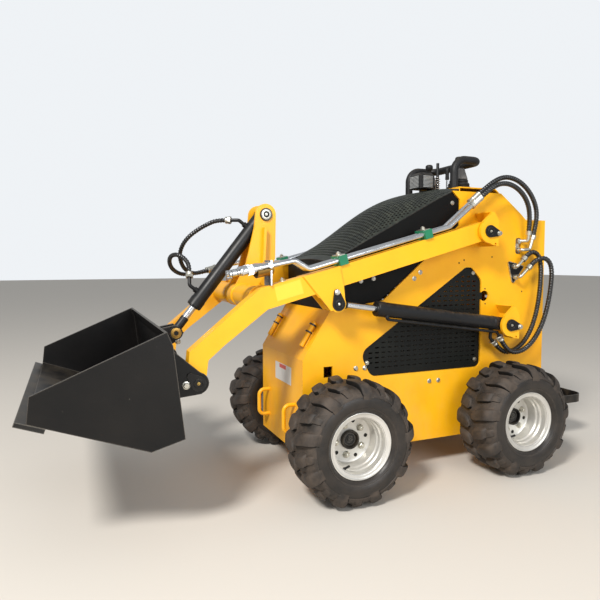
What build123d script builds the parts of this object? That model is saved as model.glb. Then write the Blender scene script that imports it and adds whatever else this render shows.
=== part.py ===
from build123d import *
from math import atan2, cos, hypot, pi, radians, sin, sqrt, tan
import os

os.makedirs("parts", exist_ok=True)

# Overall sizes, in mm. The front is -Y, up is +Z and the machine's left side is +X.
# The origin is on the ground, under the middle of the overall length.
wheelbase = 767
lip_reach = 1458
platform_reach = 1000
mid_y = (lip_reach - platform_reach) / 2

# Wheels
tyre_od = 457
tyre_width = 213
tread_width = 168
shoulder_drop = 38
lug_height = 17
lug_width = 27
lugs_per_side = 18
track = 759
rim_od = 235
rim_seat_od = 203
rim_well_od = 176
rim_width = 178
rim_wall = 5
seat_depth = 42
well_slope = 14
disc_setback = 95
disc_thickness = 7
hub_boss_od = 90
hub_boss_depth = 34
hub_cap_od = 64
hub_cap_height = 20
stud_circle = 114.3
stud_od = 20
stud_height = 12
stud_count = 5
spindle_od = 44
spindle_short = 4
axle_flange_od = 120
axle_flange_length = 56
run_gap = 0.05
seat_gap = 0.3

# Chassis
chassis_width = 464
side_plate = 8
sheet = 5
belly_z = 128
nose_y = -508
nose_break_z = 502
ledge_y = -393
ledge_z = 687
ledge_depth = 22
tower_front_y = 212
tower_top_z = 1170
rear_y = 690
rear_top_z = 1060
deck_front_y = 575
dash_z = 1190
dash_rear_y = 406
hood_foot_gap = 32

# Lift arms and their pins
arm_centre_x = 296
arm_width = 52
lug_plate = 8
ear_plate = 12
ear_gap = 6
pin_d = 32
flag_plate = 6
lift_pivot = (279, 998)
barrel_pivot = (401, 607)
knee_pin = (-406, 720)
tilt_base_pin = (-588, 1062)
bucket_pivot = (-927, 474)
tilt_eye_pin = (-945, 607)
cross_tube_centre = (-688, 746)
cross_tube_od = 84

# Hydraulic cylinders
lift_barrel_od = 57
lift_rod_od = 25
lift_barrel_length = 637
lift_rod_hidden = 60
lift_reach_max = 1096
lift_bore_stop = 190
tilt_barrel_od = 56
tilt_rod_od = 28
tilt_barrel_length = 457
tilt_rod_hidden = 60
tilt_reach_max = 808
tilt_bore_stop = 120
eye_width = 44
eye_od = 54
rod_eye_od = 48
tilt_eye_width = 40

# Hydraulic pipes and hoses
pipe_od = 18
pipe_pitch = 38
pipe_lift = 20
side_pipe_od = 12
hose_od = 21
tilt_hose_od = 18
tail_od = 14
ferrule_od = 26
port_boss_od = 22

# Bucket
bucket_width = 984
bucket_wall = 7
edge_thickness = 14
attach_width = 720
attach_plate_thickness = 12

# Platform
platform_width = 424
platform_z = 193
platform_flange = 37

inner_half = chassis_width / 2 - side_plate
wheel_x = track / 2
axle_z = tyre_od / 2
ear_inner_x = arm_centre_x + arm_width / 2 + ear_gap
lug_gap = arm_width / 2
pin_r = pin_d / 2


def side_plane(x):
    """The machine seen from its left at x: local x runs rearward from mid-wheelbase, local y is height."""
    return Plane(origin=(x, mid_y, 0), x_dir=(0, 1, 0), z_dir=(1, 0, 0))


def front_plane(y):
    """The machine's cross section at y from mid-wheelbase: local x is its left, local y is height."""
    return Plane(origin=(0, mid_y + y, 0), x_dir=(1, 0, 0), z_dir=(0, -1, 0))


def along(start, finish, distance):
    """The point at a distance from start on the way to finish, in side view."""
    length = hypot(finish[0] - start[0], finish[1] - start[1])
    share = distance / length
    return (start[0] + (finish[0] - start[0]) * share, start[1] + (finish[1] - start[1]) * share)


def route_points(side, points):
    """Points in space on one side of the machine, from (x, distance behind mid-wheelbase, height)."""
    return [Vector(side * x, mid_y + y, z) for x, y, z in points]


def offset_points(centre, offsets):
    """Side-view points given as offsets from a centre."""
    return [(centre[0] + dy, centre[1] + dz) for dy, dz in offsets]


def write(part, name):
    part.label = name
    export_step(part, f"parts/{name}.step")


# Tyres: a many-sided carcass that carries a staggered bar lug for each pitch and side
tyre_sides = 24
carcass_r = tyre_od / 2 - lug_height
bead_half = rim_width / 2 - rim_wall - run_gap
wall_r = tyre_od / 2 - shoulder_drop - lug_height
# Each station of the carcass: distance across from the middle, radius
carcass_stations = [
    (-bead_half, rim_od / 2 + rim_wall),
    (-tyre_width / 2, wall_r),
    (-tread_width / 2, carcass_r),
    (tread_width / 2, carcass_r),
    (tyre_width / 2, wall_r),
    (bead_half, rim_od / 2 + rim_wall),
]
lug_skew = 26
lug_root = 6
lug_mid = tread_width / 4
# Each kind of lug: where it starts from the middle of the tread, and its place in the pattern
lug_kinds = [(4, 0), (24, 1)]


def lug_profile(start):
    """A lug from near the tyre's middle to its shoulder: distance across, distance out from the axle."""
    sweep_out = (tread_width / 2 - lug_mid) * sin(radians(lug_skew)) + lug_width / 2
    tip_r = sqrt((tyre_od / 2) ** 2 - sweep_out**2)
    return [
        (start, carcass_r - lug_root),
        (start + lug_root, tip_r),
        (tread_width / 2, tip_r),
        (tyre_width / 2, tip_r - shoulder_drop),
        (tyre_width / 2 - 2 * lug_root, wall_r - lug_root),
        (tread_width / 2 - lug_root, carcass_r - lug_root),
    ]


def make_carcass(disc_plane):
    """The carcass as flat faces between many-sided rings, one ring for each station."""
    rings = []
    for distance, radius in carcass_stations:
        ring = []
        for step in range(tyre_sides):
            turn = radians(step * 360 / tyre_sides)
            ring.append(disc_plane.from_local_coords((radius * cos(turn), radius * sin(turn), distance)))
        rings.append(ring)
    faces = [Face(Wire.make_polygon(rings[0])), Face(Wire.make_polygon(rings[-1]))]
    for ring, outer_ring in zip(rings, rings[1:]):
        for step in range(tyre_sides):
            corners = [ring[step - 1], ring[step], outer_ring[step], outer_ring[step - 1]]
            faces.append(Face(Wire.make_polygon(corners)))
    return Solid(Shell(faces))


def make_tyre(plane, side, name):
    across = plane.y_dir
    disc_plane = Plane(origin=plane.origin, x_dir=plane.x_dir, z_dir=across)
    with BuildPart() as tyre:
        add(make_carcass(disc_plane))
        for start, first_pitch in lug_kinds:
            for way in (1, -1):
                lug_planes = []
                for pitch in range(first_pitch, lugs_per_side, len(lug_kinds)):
                    turn = (pitch + (1 - way) / 4) * 360 / lugs_per_side
                    out = plane.x_dir.rotate(Axis(plane.origin, across), turn)
                    bar = (across * way).rotate(Axis(plane.origin, out), lug_skew * way * side)
                    corner = plane.origin + (across * way - bar) * lug_mid
                    lug_planes.append(Plane(origin=corner, x_dir=bar, z_dir=bar.cross(out)))
                with BuildSketch(*lug_planes):
                    with BuildLine():
                        Polyline(*lug_profile(start), close=True)
                    make_face()
                extrude(amount=lug_width / 2, both=True)
        with BuildSketch(disc_plane.offset(-bead_half)):
            RegularPolygon(rim_seat_od / 2 + run_gap, tyre_sides, major_radius=False)
        extrude(amount=2 * bead_half, mode=Mode.SUBTRACT)
    write(tyre.part, name)


# Rims: a barrel with a lip and a seat at each side and a well between, a deep-set disc, studs and a hub cap
def make_rim(plane, name):
    half = rim_width / 2
    wall_mid = rim_wall / 2
    seat_r = rim_seat_od / 2 - wall_mid
    well_r = rim_well_od / 2
    disc_face = half - disc_setback
    disc_back = disc_face - disc_thickness
    with BuildPart() as rim:
        with BuildSketch(plane):
            with BuildLine():
                barrel_line = Polyline(
                    (rim_od / 2, half - wall_mid),
                    (seat_r, half - wall_mid),
                    (seat_r, half - seat_depth),
                    (well_r, half - seat_depth - well_slope),
                    (well_r, -half + seat_depth + well_slope),
                    (seat_r, -half + seat_depth),
                    (seat_r, -half + wall_mid),
                    (rim_od / 2, -half + wall_mid),
                )
                offset(barrel_line, amount=wall_mid, side=Side.BOTH)
            make_face()
        revolve(axis=Axis(plane.origin, plane.y_dir))
        disc_plane = Plane(origin=plane.origin, x_dir=plane.x_dir, z_dir=plane.y_dir)
        with BuildSketch(disc_plane.offset(disc_back)):
            Circle(well_r)
        extrude(amount=disc_thickness)
        with BuildSketch(disc_plane.offset(disc_back)):
            Circle(hub_boss_od / 2)
        extrude(amount=-hub_boss_depth)
        with BuildSketch(disc_plane.offset(disc_face)):
            Circle(hub_cap_od / 2)
        extrude(amount=hub_cap_height)
        with BuildSketch(disc_plane.offset(disc_face)):
            with PolarLocations(stud_circle / 2, stud_count):
                RegularPolygon(stud_od / 2, 6)
        extrude(amount=stud_height)
        with BuildSketch(disc_plane.offset(disc_back - hub_boss_depth)):
            Circle(spindle_od / 2 + run_gap)
        extrude(amount=hub_boss_depth, mode=Mode.SUBTRACT)
    write(rim.part, name)


corners = [
    ("front_left", 1, -wheelbase / 2),
    ("front_right", -1, -wheelbase / 2),
    ("rear_left", 1, wheelbase / 2),
    ("rear_right", -1, wheelbase / 2),
]
for corner, side, axle_y in corners:
    wheel_plane = Plane(
        origin=(side * wheel_x, mid_y + axle_y, axle_z), x_dir=(0, 0, 1), z_dir=(0, side, 0)
    )
    make_tyre(wheel_plane, side, f"tyre_{corner}")
    make_rim(wheel_plane, f"rim_{corner}")

# Axle stubs: a flanged motor housing on the side plate and the spindle that the hub turns on
hub_inner_x = wheel_x + rim_width / 2 - disc_setback - disc_thickness - hub_boss_depth
flange_outer_x = chassis_width / 2 + axle_flange_length
with BuildPart() as axle_stubs:
    for corner, side, axle_y in corners:
        stub_plane = Plane(
            origin=(side * chassis_width / 2, mid_y + axle_y, axle_z), x_dir=(0, 1, 0), z_dir=(side, 0, 0)
        )
        with BuildSketch(stub_plane):
            Circle(axle_flange_od / 2)
        extrude(amount=axle_flange_length)
        with BuildSketch(stub_plane.offset(axle_flange_length)):
            Circle(spindle_od / 2)
        extrude(amount=hub_inner_x - flange_outer_x + hub_boss_depth - spindle_short)
write(axle_stubs.part, "axle_stubs")

# Side plates: nose, strut and tower in one plate, with the cooling opening
deck_overlap = 25
deck_step = 22
strut_foot = (-158, 720)
strut_top = (tower_front_y, 1027)
brow_y = 172
brow_z = 1134
side_outline = [
    (nose_y, belly_z),
    (nose_y, nose_break_z),
    (ledge_y, ledge_z),
    strut_foot,
    strut_top,
    (tower_front_y, brow_z),
    (brow_y, tower_top_z),
    (dash_rear_y + deck_overlap, tower_top_z),
    (deck_front_y - deck_overlap, rear_top_z + deck_step),
    (deck_front_y, rear_top_z),
    (rear_y, rear_top_z),
    (rear_y, belly_z),
]
# Each corner of the opening: distance behind mid-wheelbase, height, corner radius
opening_corners = [
    (-212, 417, 42),
    (333, 417, 26),
    (333, 795, 40),
    (280, 850, 26),
    (246, 850, 26),
    (-262, 514, 42),
]
opening_radii = [radius for y, z, radius in opening_corners]
porthole_d = 46
porthole = (350, 726)
nose_slot_size = (38, 43)
nose_slot = (-401, 450)
hose_slot_size = (32, 71)
hose_slot_corner = 11
hose_slot = (535, 944)
with BuildPart() as side_plates:
    for side in (1, -1):
        with BuildSketch(side_plane(side * (chassis_width / 2 - side_plate / 2))):
            with BuildLine():
                Polyline(*side_outline, close=True)
            make_face()
            with BuildLine(mode=Mode.PRIVATE) as opening_line:
                FilletPolyline(
                    *[(y, z) for y, z, radius in opening_corners], radius=opening_radii, close=True
                )
            make_face(opening_line.edges(), mode=Mode.SUBTRACT)
            with Locations(porthole):
                Circle(porthole_d / 2, mode=Mode.SUBTRACT)
            with Locations(nose_slot):
                Rectangle(*nose_slot_size, mode=Mode.SUBTRACT)
            with Locations(hose_slot):
                RectangleRounded(*hose_slot_size, hose_slot_corner, mode=Mode.SUBTRACT)
        extrude(amount=side_plate / 2, both=True)
write(side_plates.part, "side_plates")

# Mesh panels: a pierced sheet behind each opening, wider than it all round
panel_margin = 22
panel_thickness = 4
with BuildPart() as mesh_panels:
    for side in (1, -1):
        with BuildSketch(side_plane(side * (inner_half - panel_thickness / 2))):
            with BuildLine(mode=Mode.PRIVATE) as panel_line:
                FilletPolyline(
                    *[(y, z) for y, z, radius in opening_corners], radius=opening_radii, close=True
                )
            make_face(panel_line.edges())
            offset(amount=panel_margin)
        extrude(amount=panel_thickness / 2, both=True)
write(mesh_panels.part, "mesh_panels")

# Nose: one bent sheet from the belly up the front, over the slope and along the ledge
with BuildPart() as nose_shell:
    with BuildSketch(side_plane(-inner_half)):
        with BuildLine():
            nose_line = Polyline(
                (nose_y, belly_z + sheet),
                (nose_y, nose_break_z),
                (ledge_y, ledge_z),
                (ledge_y + ledge_depth, ledge_z),
            )
            offset(nose_line, amount=sheet, side=Side.RIGHT)
        make_face()
    extrude(amount=2 * inner_half)
write(nose_shell.part, "nose_shell")

# Belly plate and rear panel, between the side plates
with BuildPart() as belly_plate:
    with BuildSketch(side_plane(-inner_half)):
        with Locations((nose_y, belly_z)):
            Rectangle(rear_y - nose_y, sheet, align=(Align.MIN, Align.MIN))
    extrude(amount=2 * inner_half)
write(belly_plate.part, "belly_plate")

louvre_count = 8
louvre_pitch = 34
louvre_height = 14
louvre_width = 300
louvre_z = 560
with BuildPart() as rear_panel:
    with BuildSketch(front_plane(rear_y)):
        with Locations((0, belly_z + sheet)):
            Rectangle(2 * inner_half, rear_top_z - belly_z - 2 * sheet, align=(Align.CENTER, Align.MIN))
        for row in range(louvre_count):
            with Locations((0, louvre_z + row * louvre_pitch)):
                SlotOverall(louvre_width, louvre_height, mode=Mode.SUBTRACT)
    extrude(amount=sheet)
write(rear_panel.part, "rear_panel")

# Tower cover: the dash and the rear deck, bent from one sheet
cover_inset = 9
with BuildPart() as tower_cover:
    with BuildSketch(side_plane(-inner_half)):
        with BuildLine():
            cover_line = Polyline(
                (tower_front_y, strut_top[1] - hood_foot_gap),
                (tower_front_y, dash_z),
                (dash_rear_y, dash_z),
                (deck_front_y - deck_overlap - cover_inset, rear_top_z + deck_step),
                (deck_front_y - cover_inset, rear_top_z),
                (rear_y, rear_top_z),
            )
            offset(cover_line, amount=sheet, side=Side.RIGHT)
        make_face()
    extrude(amount=2 * inner_half)
write(tower_cover.part, "tower_cover")

# Hood: a domed skin between the side plates, crowned across and rising to the tower.
# Each station: distance behind mid-wheelbase, side edge height, crest height
hood_front_gap = 8
hood_stations = [
    (ledge_y + hood_front_gap, 868, 884),
    (-240, 950, 990),
    (-80, 1033, 1108),
    (40, 1097, 1160),
    (tower_front_y - seat_gap, 1178, 1196),
]
hood_skin = 4
hood_floor = 600
hood_sill_rear = -218
hood_foot_line = [
    (hood_stations[0][0], ledge_z),
    (hood_sill_rear, ledge_z),
    (tower_front_y, strut_top[1] - hood_foot_gap),
]
with BuildPart() as hood:
    for y, edge_z, crest_z in hood_stations:
        with BuildSketch(front_plane(y)):
            with BuildLine():
                outer_foot = Line((-inner_half, hood_floor), (-inner_half, edge_z))
                outer_crown = ThreePointArc(outer_foot @ 1, (0, crest_z), (inner_half, edge_z))
                outer_end = Line(outer_crown @ 1, (inner_half, hood_floor))
                end_foot = Line(outer_end @ 1, (inner_half - hood_skin, hood_floor))
                inner_wall = Line(end_foot @ 1, (inner_half - hood_skin, edge_z - hood_skin))
                inner_crown = ThreePointArc(
                    inner_wall @ 1, (0, crest_z - hood_skin), (-inner_half + hood_skin, edge_z - hood_skin)
                )
                inner_end = Line(inner_crown @ 1, (-inner_half + hood_skin, hood_floor))
                Line(inner_end @ 1, outer_foot @ 0)
            make_face()
    loft()
    with BuildSketch(front_plane(hood_stations[0][0])):
        with BuildLine():
            front_sill = Line((-inner_half, ledge_z), (-inner_half, hood_stations[0][1]))
            front_brow = ThreePointArc(
                front_sill @ 1, (0, hood_stations[0][2]), (inner_half, hood_stations[0][1])
            )
            front_end = Line(front_brow @ 1, (inner_half, ledge_z))
            Line(front_end @ 1, front_sill @ 0)
        make_face()
    extrude(amount=-hood_skin)
    with BuildSketch(side_plane(-chassis_width)):
        with BuildLine():
            Polyline(
                (hood_stations[0][0] - hood_skin, hood_floor - hood_skin),
                (hood_stations[0][0] - hood_skin, ledge_z),
                *hood_foot_line,
                (tower_front_y, hood_floor - hood_skin),
                close=True,
            )
        make_face()
    extrude(amount=2 * chassis_width, mode=Mode.SUBTRACT)
write(hood.part, "hood")

# Engine: the plain block that the mesh hides, on the belly plate
engine_size = (380, 520, 540)
engine_y = 120
with BuildPart() as engine_block:
    with BuildSketch(Plane(origin=(0, mid_y + engine_y, belly_z + sheet))):
        Rectangle(engine_size[0], engine_size[1])
    extrude(amount=engine_size[2])
write(engine_block.part, "engine_block")

# Ears: the outboard plates that hold the arm's pivot and the cylinder's foot.
# The outline and the web are offsets from the pin, the same for both.
ear_round = 48
ear_cut = 0.7 * ear_round
ear_hole_d = 9
ear_hole_at = (30, -51)
web_line = [(36, -60), (36, 42), (12, 79)]
web_thickness = 10
ear_outline = [(12, 79), (-34, 39), (-ear_cut, -ear_cut), (18, -56), (46, -60), (46, 42), (24, 79)]
pivots = [lift_pivot, barrel_pivot]
web_length = ear_inner_x - chassis_width / 2
with BuildPart() as pivot_ears:
    for pivot in pivots:
        for side in (1, -1):
            with BuildSketch(side_plane(side * (ear_inner_x + ear_plate / 2))):
                with BuildLine():
                    Polyline(*offset_points(pivot, ear_outline), close=True)
                make_face()
                with Locations(pivot):
                    Circle(ear_round)
                with Locations(pivot):
                    Circle(pin_r + run_gap, mode=Mode.SUBTRACT)
                with Locations(*offset_points(pivot, [ear_hole_at])):
                    Circle(ear_hole_d / 2, mode=Mode.SUBTRACT)
            extrude(amount=ear_plate / 2, both=True)
            with BuildSketch(side_plane(side * (chassis_width / 2 + web_length / 2))):
                with BuildLine():
                    web = Polyline(*offset_points(pivot, web_line))
                    offset(web, amount=web_thickness, side=Side.RIGHT)
                make_face()
            extrude(amount=web_length / 2, both=True)
write(pivot_ears.part, "pivot_ears")

# Pivot pins, each with the flag that a bolt holds on the ear
flag_tail = 44
flag_drop = 8
flag_round = 25
flag_tip_round = 11
pin_inner_x = chassis_width / 2
pin_outer_x = ear_inner_x + ear_plate
with BuildPart() as pivot_pins:
    for pivot in pivots:
        for side in (1, -1):
            with BuildSketch(side_plane(side * (pin_inner_x + pin_outer_x) / 2)):
                with Locations(pivot):
                    Circle(pin_r)
            extrude(amount=(pin_outer_x - pin_inner_x) / 2, both=True)
            with BuildSketch(side_plane(side * (pin_outer_x + flag_plate / 2))):
                with Locations(pivot):
                    Circle(flag_round)
                with Locations(*offset_points(pivot, [(flag_tail, -flag_drop)])):
                    Circle(flag_tip_round)
                make_hull()
            extrude(amount=flag_plate / 2, both=True)
write(pivot_pins.part, "pivot_pins")

# Lift arms: box beams from the rear pivot over the knee to the bucket pivot
arm_heel = [(263, 1038), (305, 1008), (300, 976), (244, 955)]
arm_outline = [
    arm_heel[0],
    (-397, 859),
    (-543, 822),
    (-701, 784),
    (-951, 577),
    (-961, 490),
    (-900, 452),
    (-888, 545),
    (-830, 594),
    (-676, 709),
    (-492, 758),
    (-381, 786),
    arm_heel[-1],
]
lug_outline = [(-545, 822), (-436, 695), (-376, 710), (-384, 786), (-400, 858)]
lug_round = 31
arm_end_round = 30
arm_tip_round = 36
with BuildPart() as arm_beam:
    with BuildSketch(side_plane(arm_centre_x)):
        with BuildLine():
            Polyline(*arm_outline, close=True)
        make_face()
        with Locations(lift_pivot):
            Circle(arm_end_round)
        with BuildLine():
            Polyline(*arm_heel, close=True)
        make_face()
        with Locations(bucket_pivot):
            Circle(arm_tip_round)
        with Locations(lift_pivot, bucket_pivot):
            Circle(pin_r + run_gap, mode=Mode.SUBTRACT)
    extrude(amount=arm_width / 2, both=True)
    for lug_side in (1, -1):
        with BuildSketch(side_plane(arm_centre_x + lug_side * (lug_gap + lug_plate / 2))):
            with BuildLine():
                Polyline(*lug_outline, close=True)
            make_face()
            with Locations(knee_pin):
                Circle(lug_round)
                Circle(pin_r + run_gap, mode=Mode.SUBTRACT)
        extrude(amount=lug_plate / 2, both=True)
write(arm_beam.part, "arm_left")
with BuildPart() as arm_right:
    add(mirror(arm_beam.part, about=Plane.YZ, mode=Mode.PRIVATE))
write(arm_right.part, "arm_right")

# Cross tube and the mast for the tilt cylinder
mast_plate = 12
mast_gap = 80
mast_outline = [
    (-727, 764),
    (-674, 855),
    (-636, 1008),
    (-630, 1062),
    (-546, 1062),
    (-550, 887),
    (-650, 745),
]
mast_round = 42
mast_web = [(-560, 985), (-568, 985), (-569, 893), (-561, 887)]
mast_rib_line = [(-610, 860), (-602, 1010)]
mast_rib_thickness = 10
mast_rib_reach = 25
with BuildPart() as cross_tube:
    with BuildSketch(side_plane(0)):
        with Locations(cross_tube_centre):
            Circle(cross_tube_od / 2)
    extrude(amount=arm_centre_x - arm_width / 2, both=True)
write(cross_tube.part, "cross_tube")
with BuildPart() as tilt_mast:
    for side in (1, -1):
        with BuildSketch(side_plane(side * (mast_gap / 2 + mast_plate / 2))):
            with BuildLine():
                Polyline(*mast_outline, close=True)
            make_face()
            with Locations(tilt_base_pin):
                Circle(mast_round)
                Circle(pin_r + run_gap, mode=Mode.SUBTRACT)
            with Locations(cross_tube_centre):
                Circle(cross_tube_od / 2, mode=Mode.SUBTRACT)
        extrude(amount=mast_plate / 2, both=True)
    with BuildSketch(side_plane(0)):
        with BuildLine():
            Polyline(*mast_web, close=True)
        make_face()
    extrude(amount=mast_gap / 2, both=True)
    for side in (1, -1):
        with BuildSketch(side_plane(side * (mast_gap / 2 + mast_plate + mast_rib_reach / 2))):
            with BuildLine():
                rib_line = Line(*mast_rib_line)
                offset(rib_line, amount=mast_rib_thickness, side=Side.RIGHT)
            make_face()
        extrude(amount=mast_rib_reach / 2, both=True)
write(tilt_mast.part, "tilt_mast")

# Arm pins: the tilt cylinder's base pin, and in each knee lug a stub of the rod's pin, flagged outside
knee_outer_x = arm_centre_x + lug_gap + lug_plate
mast_outer_x = mast_gap / 2 + mast_plate
with BuildPart() as arm_pins:
    with BuildSketch(side_plane(0)):
        with Locations(tilt_base_pin):
            Circle(pin_r)
    extrude(amount=mast_outer_x, both=True)
    for side in (1, -1):
        with BuildSketch(side_plane(side * (mast_outer_x + flag_plate / 2))):
            with Locations(tilt_base_pin):
                Circle(flag_round)
        extrude(amount=flag_plate / 2, both=True)
        with BuildSketch(side_plane(side * (knee_outer_x + flag_plate / 2))):
            with Locations(knee_pin):
                Circle(flag_round)
            with Locations(*offset_points(knee_pin, [(-flag_drop, flag_tail)])):
                Circle(flag_tip_round)
            make_hull()
        extrude(amount=flag_plate / 2, both=True)
        for lug_side in (1, -1):
            with BuildSketch(side_plane(side * arm_centre_x + lug_side * (lug_gap + lug_plate / 2))):
                with Locations(knee_pin):
                    Circle(pin_r)
            extrude(amount=lug_plate / 2, both=True)
write(arm_pins.part, "arm_pins")


# Cylinders: a barrel with an eye at its foot, bored for its rod, and the rod with its own eye.
# Hydraulic ports stand off a barrel, each with a steel pipe to its hose.
def make_barrel(x, foot, head, length, od, rod_od, bore_depth):
    barrel_plane = Plane(
        origin=(x, mid_y + foot[0], foot[1]),
        x_dir=(1, 0, 0),
        z_dir=(0, head[0] - foot[0], head[1] - foot[1]),
    )
    with BuildPart() as barrel:
        with BuildSketch(side_plane(x)):
            with Locations(foot):
                Circle(eye_od / 2)
        extrude(amount=eye_width / 2, both=True)
        with BuildSketch(barrel_plane):
            Circle(od / 2)
        extrude(amount=length)
        with BuildSketch(side_plane(x)):
            with Locations(foot):
                Circle(pin_r + run_gap)
        extrude(amount=od, both=True, mode=Mode.SUBTRACT)
        with BuildSketch(barrel_plane.offset(length)):
            Circle(rod_od / 2 + run_gap)
        extrude(amount=-bore_depth, mode=Mode.SUBTRACT)
    return barrel.part


def make_rod(x, foot, head, length, rod_od, width):
    with BuildPart() as rod:
        with BuildSketch(side_plane(x)):
            with Locations(head):
                Circle(rod_eye_od / 2)
        extrude(amount=width / 2, both=True)
        rod_plane = Plane(
            origin=(x, mid_y + head[0], head[1]),
            x_dir=(1, 0, 0),
            z_dir=(0, foot[0] - head[0], foot[1] - head[1]),
        )
        with BuildSketch(rod_plane):
            Circle(rod_od / 2)
        extrude(amount=length)
        with BuildSketch(side_plane(x)):
            with Locations(head):
                Circle(pin_r + run_gap)
        extrude(amount=width, both=True, mode=Mode.SUBTRACT)
    return rod.part


def beside(foot, head, distance, reach):
    """A side-view point at a distance along a cylinder from its foot, and a reach to the left of its axis."""
    length = hypot(head[0] - foot[0], head[1] - foot[1])
    axis_y = (head[0] - foot[0]) / length
    axis_z = (head[1] - foot[1]) / length
    return (foot[0] + axis_y * distance - axis_z * reach, foot[1] + axis_z * distance + axis_y * reach)


def make_boss(x, foot, head, distance, reach, side_of_axis):
    """A port boss that stands out of a barrel's wall."""
    inner = beside(foot, head, distance, side_of_axis * boss_root)
    outer = beside(foot, head, distance, side_of_axis * reach)
    with BuildPart() as boss:
        with BuildSketch(
            Plane(
                origin=(x, mid_y + inner[0], inner[1]),
                x_dir=(1, 0, 0),
                z_dir=(0, outer[0] - inner[0], outer[1] - inner[1]),
            )
        ):
            Circle(port_boss_od / 2)
        extrude(amount=reach - boss_root)
    return boss.part


def make_tail(points, od, bend, ferrule):
    """A steel pipe through points in space, with a ferrule of a given length at its last end."""
    with BuildPart() as tail:
        with BuildLine():
            tail_path = FilletPolyline(*points, radius=bend)
        with BuildSketch(Plane(origin=tail_path @ 0, z_dir=tail_path % 0)):
            Circle(od / 2)
        sweep(path=tail_path)
        if ferrule:
            with BuildSketch(Plane(origin=points[-1], z_dir=points[-2] - points[-1])):
                Circle(ferrule_od / 2)
            extrude(amount=ferrule)
    return tail.part


boss_root = 16
boss_reach = 38
short_ferrule = 18
port_bend = 13
# Ports of a lift cylinder: x from the arm's middle, distance along the barrel
foot_port = (-15, 50)
foot_tail_reach = 66
side_boss_reach = 30
side_pipe_x = 10
side_pipe_reach = 36.5
side_pipe_ends = (40, 590)
lift_hose_ends = {"foot": (281, 371, 520.5), "head": (306, 380, 541.5)}
lift_rod_length = lift_reach_max - lift_barrel_length + lift_rod_hidden
lift_bore_depth = lift_barrel_length - lift_bore_stop
for name, side in [("left", 1), ("right", -1)]:
    x = side * arm_centre_x
    foot_x = arm_centre_x + foot_port[0]
    pipe_x = arm_centre_x + side_pipe_x
    foot_tail = [
        (foot_x, *beside(barrel_pivot, knee_pin, foot_port[1], boss_root)),
        (foot_x, *beside(barrel_pivot, knee_pin, foot_port[1], foot_tail_reach)),
        lift_hose_ends["foot"],
    ]
    head_tail = [
        (pipe_x, *beside(barrel_pivot, knee_pin, side_pipe_ends[1], boss_root)),
        (pipe_x, *beside(barrel_pivot, knee_pin, side_pipe_ends[1], side_pipe_reach)),
        (pipe_x, *beside(barrel_pivot, knee_pin, side_pipe_ends[0], side_pipe_reach)),
        lift_hose_ends["head"],
    ]
    with BuildPart() as lift_barrel:
        add(
            make_barrel(
                x, barrel_pivot, knee_pin, lift_barrel_length, lift_barrel_od, lift_rod_od, lift_bore_depth
            )
        )
        add(make_boss(side * foot_x, barrel_pivot, knee_pin, foot_port[1], boss_reach, 1))
        add(make_boss(side * pipe_x, barrel_pivot, knee_pin, side_pipe_ends[1], side_boss_reach, 1))
        add(make_tail(route_points(side, foot_tail), tail_od, port_bend, short_ferrule))
        add(make_tail(route_points(side, head_tail), side_pipe_od, port_bend, short_ferrule))
    write(lift_barrel.part, f"lift_barrel_{name}")
    write(make_rod(x, barrel_pivot, knee_pin, lift_rod_length, lift_rod_od, eye_width), f"lift_rod_{name}")

# Ports of the tilt cylinder: distance along the barrel, where the hose ends
tilt_ports = [(76, (28, -729, 1041)), (400, (22, -879, 834))]
tilt_tail_reach = 62
tilt_rod_length = tilt_reach_max - tilt_barrel_length + tilt_rod_hidden
tilt_bore_depth = tilt_barrel_length - tilt_bore_stop
with BuildPart() as tilt_barrel:
    add(
        make_barrel(
            0, tilt_base_pin, tilt_eye_pin, tilt_barrel_length, tilt_barrel_od, tilt_rod_od, tilt_bore_depth
        )
    )
    for distance, hose_end in tilt_ports:
        port_root = beside(tilt_base_pin, tilt_eye_pin, distance, -boss_root)
        port_corner = beside(tilt_base_pin, tilt_eye_pin, distance, -tilt_tail_reach)
        port_tail = [(0, *port_root), (0, *port_corner), hose_end]
        add(make_boss(0, tilt_base_pin, tilt_eye_pin, distance, boss_reach, -1))
        add(make_tail(route_points(-1, port_tail), tail_od, port_bend, short_ferrule))
write(tilt_barrel.part, "tilt_barrel")
write(make_rod(0, tilt_base_pin, tilt_eye_pin, tilt_rod_length, tilt_rod_od, tilt_eye_width), "tilt_rod")

# Attachment plate: a flat plate on the bucket's back, with ears for the arms and the tilt rod
back_foot = (-1000, 341)
back_top = (-1032, 626)


def back_face_y(z):
    """Where the attachment plate's rear face lies, behind mid-wheelbase, at a height."""
    share = (z - back_foot[1]) / (back_top[1] - back_foot[1])
    return back_foot[0] + (back_top[0] - back_foot[0]) * share + attach_plate_thickness / 2


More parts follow.
